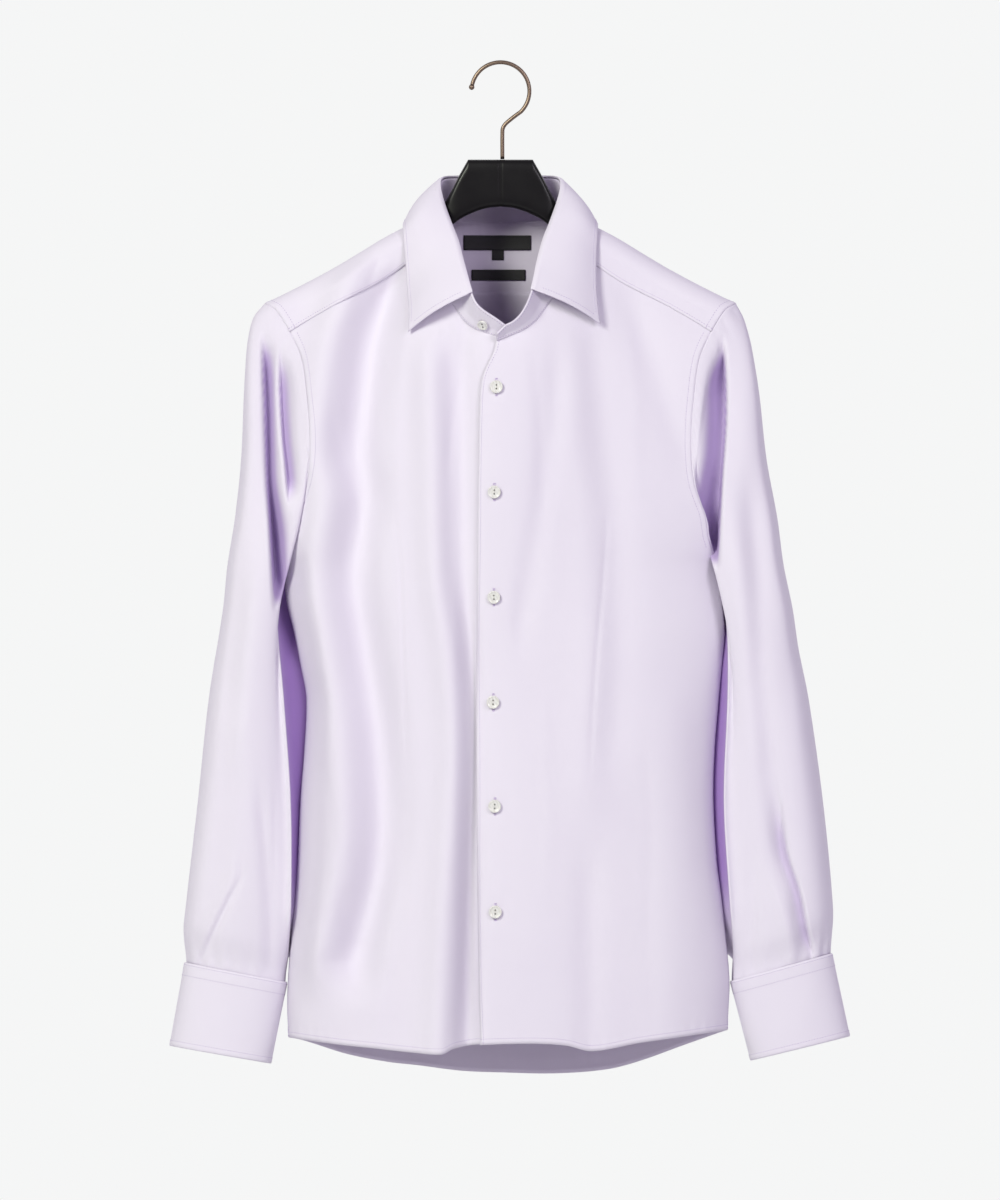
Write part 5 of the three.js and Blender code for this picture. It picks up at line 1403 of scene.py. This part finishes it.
def outward_of(x, z):
    """The way out of the front's cloth, from its slope over a few millimetres."""
    dx = float(front_y(x + SLOPE_STEP, z) - front_y(x - SLOPE_STEP, z)) / (2 * SLOPE_STEP)
    dz = float(front_y(x, z + SLOPE_STEP) - front_y(x, z - SLOPE_STEP)) / (2 * SLOPE_STEP)
    return unit(np.array([dx, -1.0, dz]))


def buttonhole(thread, x, z):
    """Close stitches down both lips of an upright buttonhole, and its bar tacks."""
    ahead = np.array([0, -1.0, 0])

    def on(px, pz, lift):
        return np.array([px, float(front_y(px, pz)) - CLOTH / 2 - lift, pz])

    for s in np.arange(-HOLE_HALF, HOLE_HALF, 0.42):
        for lip in (-1, 1):
            thread.bar(on(x + lip * 0.18, z + s, 0.08), on(x + lip * 1.15, z + s, 0.08), ahead, 0.17)
    for end in (-HOLE_HALF, HOLE_HALF):
        for s in (-0.35, 0, 0.35):
            thread.bar(on(x - 1.3, z + end + s, 0.12), on(x + 1.3, z + end + s, 0.12), ahead, 0.2)


holes = Thread()
for i, (x, z) in enumerate(FRONT_BUTTONS):
    sew_button(f"button_{i + 1}", f"front_button_{i + 1}", BUTTON_RADIUS,
               (x, float(front_y(x, z)), z), outward_of(x, z), CLOTH)
    buttonhole(holes, x, z)
finish_piece(holes.make("buttonholes"), HOLE_THREAD_LOOK, "cloth")


def collar_button_spot():
    """The place on the stand nearest to the collar button, and the way out of it."""
    found = []
    for t in np.arange(0.015, 0.12, 0.002):
        for height in np.arange(0.1, 0.9, 0.02):
            place = stand_points([t], height)[0]
            away = math.hypot(place[0] - COLLAR_BUTTON[0], place[2] - COLLAR_BUTTON[1])
            found.append((away, t, height))
    _, t, height = min(found)
    run = stand_points([t + 0.01], height)[0] - stand_points([t - 0.01], height)[0]
    rise = stand_points([t], 1)[0] - stand_points([t], 0)[0]
    out = unit(np.cross(run, rise))
    return stand_points([t], height)[0], -out if out[1] > 0 else out


spot, facing_out = collar_button_spot()
sew_button("collar_button_shell", "collar_button", SMALL_BUTTON_RADIUS, spot, facing_out, FACED)
for word in SIDES.values():
    place = sheets[f"cuff_{word}"].grid[CUFF_DOWN // 2, CUFF_AROUND * 3 // 4]
    sew_button(f"cuff_button_{word}_shell", f"cuff_button_{word}", SMALL_BUTTON_RADIUS, place,
               (0, 1, 0), FACED)

for name, left, right, top, bottom, hang in LABELS:
    xs, zs = np.meshgrid(np.linspace(left, right, 60), np.linspace(top, bottom, 24))
    ys = back_y(xs, zs) - CLOTH / 2 - hang
    label = Cloth(np.stack([xs, ys, zs], -1), LABEL_CLOTH, (0, -1, 0))
    finish_piece(label.mesh(f"{name}_cloth"), LABEL_LOOK, "labels", name)


def hanger_mesh():
    """The frame's sections, skinned finely, with a parting line at the middle."""
    tops, lows, deeps, squares = (through(HANGER, 0, k) for k in (1, 2, 3, 4))
    xs = np.concatenate([np.linspace(0, 28.5, 30), np.linspace(29.2, 66, 46),
                         np.linspace(68, 188, 60)])
    flat_tops = np.interp(xs, [row[0] for row in HANGER], [row[1] for row in HANGER])
    # The block in the middle has straight edges and sharper corners than the arms.
    block = xs < HANGER_BLOCK
    top, low, deep = np.where(block, flat_tops, tops(xs)), lows(xs), deeps(xs)
    power = np.where(block, squares(xs) * 0.72, squares(xs))
    end = 1 - np.clip((xs - 182) / 6.5, 0, 1) ** 2 * 0.6
    groove = 1 - 0.035 * np.exp(-((xs - 0.7) / 0.5) ** 2)
    angle = 2 * math.pi * (np.arange(HANGER_SIDES) + 0.5) / HANGER_SIDES
    middle, half = (top + low) / 2, (top - low) / 2 * end
    columns = []
    for flip, order in ((-1, range(len(xs) - 1, 0, -1)), (1, range(len(xs)))):
        for i in order:
            across, up = (np.sign(a) * np.abs(a) ** power[i] for a in (np.cos(angle), np.sin(angle)))
            columns.append(np.stack([np.full(HANGER_SIDES, flip * xs[i]),
                                     deep[i] * end[i] * groove[i] * across,
                                     middle[i] + half[i] * up], -1))
    faces = ring_faces(len(columns), HANGER_SIDES) + end_faces(len(columns), HANGER_SIDES)
    return make_mesh("hanger_shell", np.vstack(columns), faces)


def hook_mesh():
    """The wire: round the ring, across to the stem, down into the hanger, and its ball."""
    angles = np.radians(np.arange(HOOK_FREE_ANGLE, HOOK_LAST_ANGLE - 1, -3))
    ring = np.stack([HOOK_RADIUS * np.cos(angles), np.zeros(len(angles)),
                     HOOK_CENTRE_Z + HOOK_RADIUS * np.sin(angles)], -1)
    stem = [(STEM_X + x, 0, STEM_BEND_Z + z) for x, z in STEM_BEND]
    tail = dense([ring[-1], *stem, (STEM_X, 0, STEM_END_Z)], steps=8)
    path = np.vstack([ring[:-1], tail])
    tangent = unit(np.gradient(path, axis=0))
    across = np.cross(tangent, np.array([0, 1.0, 0]))
    cos, sin = np.cos(turns(HOOK_SIDES))[:, None], np.sin(turns(HOOK_SIDES))[:, None]
    rings = []
    for turn in np.linspace(0.06, 2.35, 16):
        centre = path[0] - tangent[0] * BALL_RADIUS * (math.cos(turn) + 0.7)
        size = BALL_RADIUS * math.sin(turn)
        rings.append(centre + size * (cos * across[0] + sin * np.array([0, 1.0, 0])))
    for centre, sideways in zip(path, across):
        rings.append(centre + WIRE / 2 * (cos * sideways + sin * np.array([0, 1.0, 0])))
    faces = ring_faces(len(rings), HOOK_SIDES) + end_faces(len(rings), HOOK_SIDES)
    return make_mesh("hook_wire", np.vstack(rings), faces)


finish_piece(hanger_mesh(), HANGER_LOOK, "hanger", "hanger")
finish_piece(hook_mesh(), HOOK_LOOK, "hook", "hook")

bpy.context.view_layer.update()
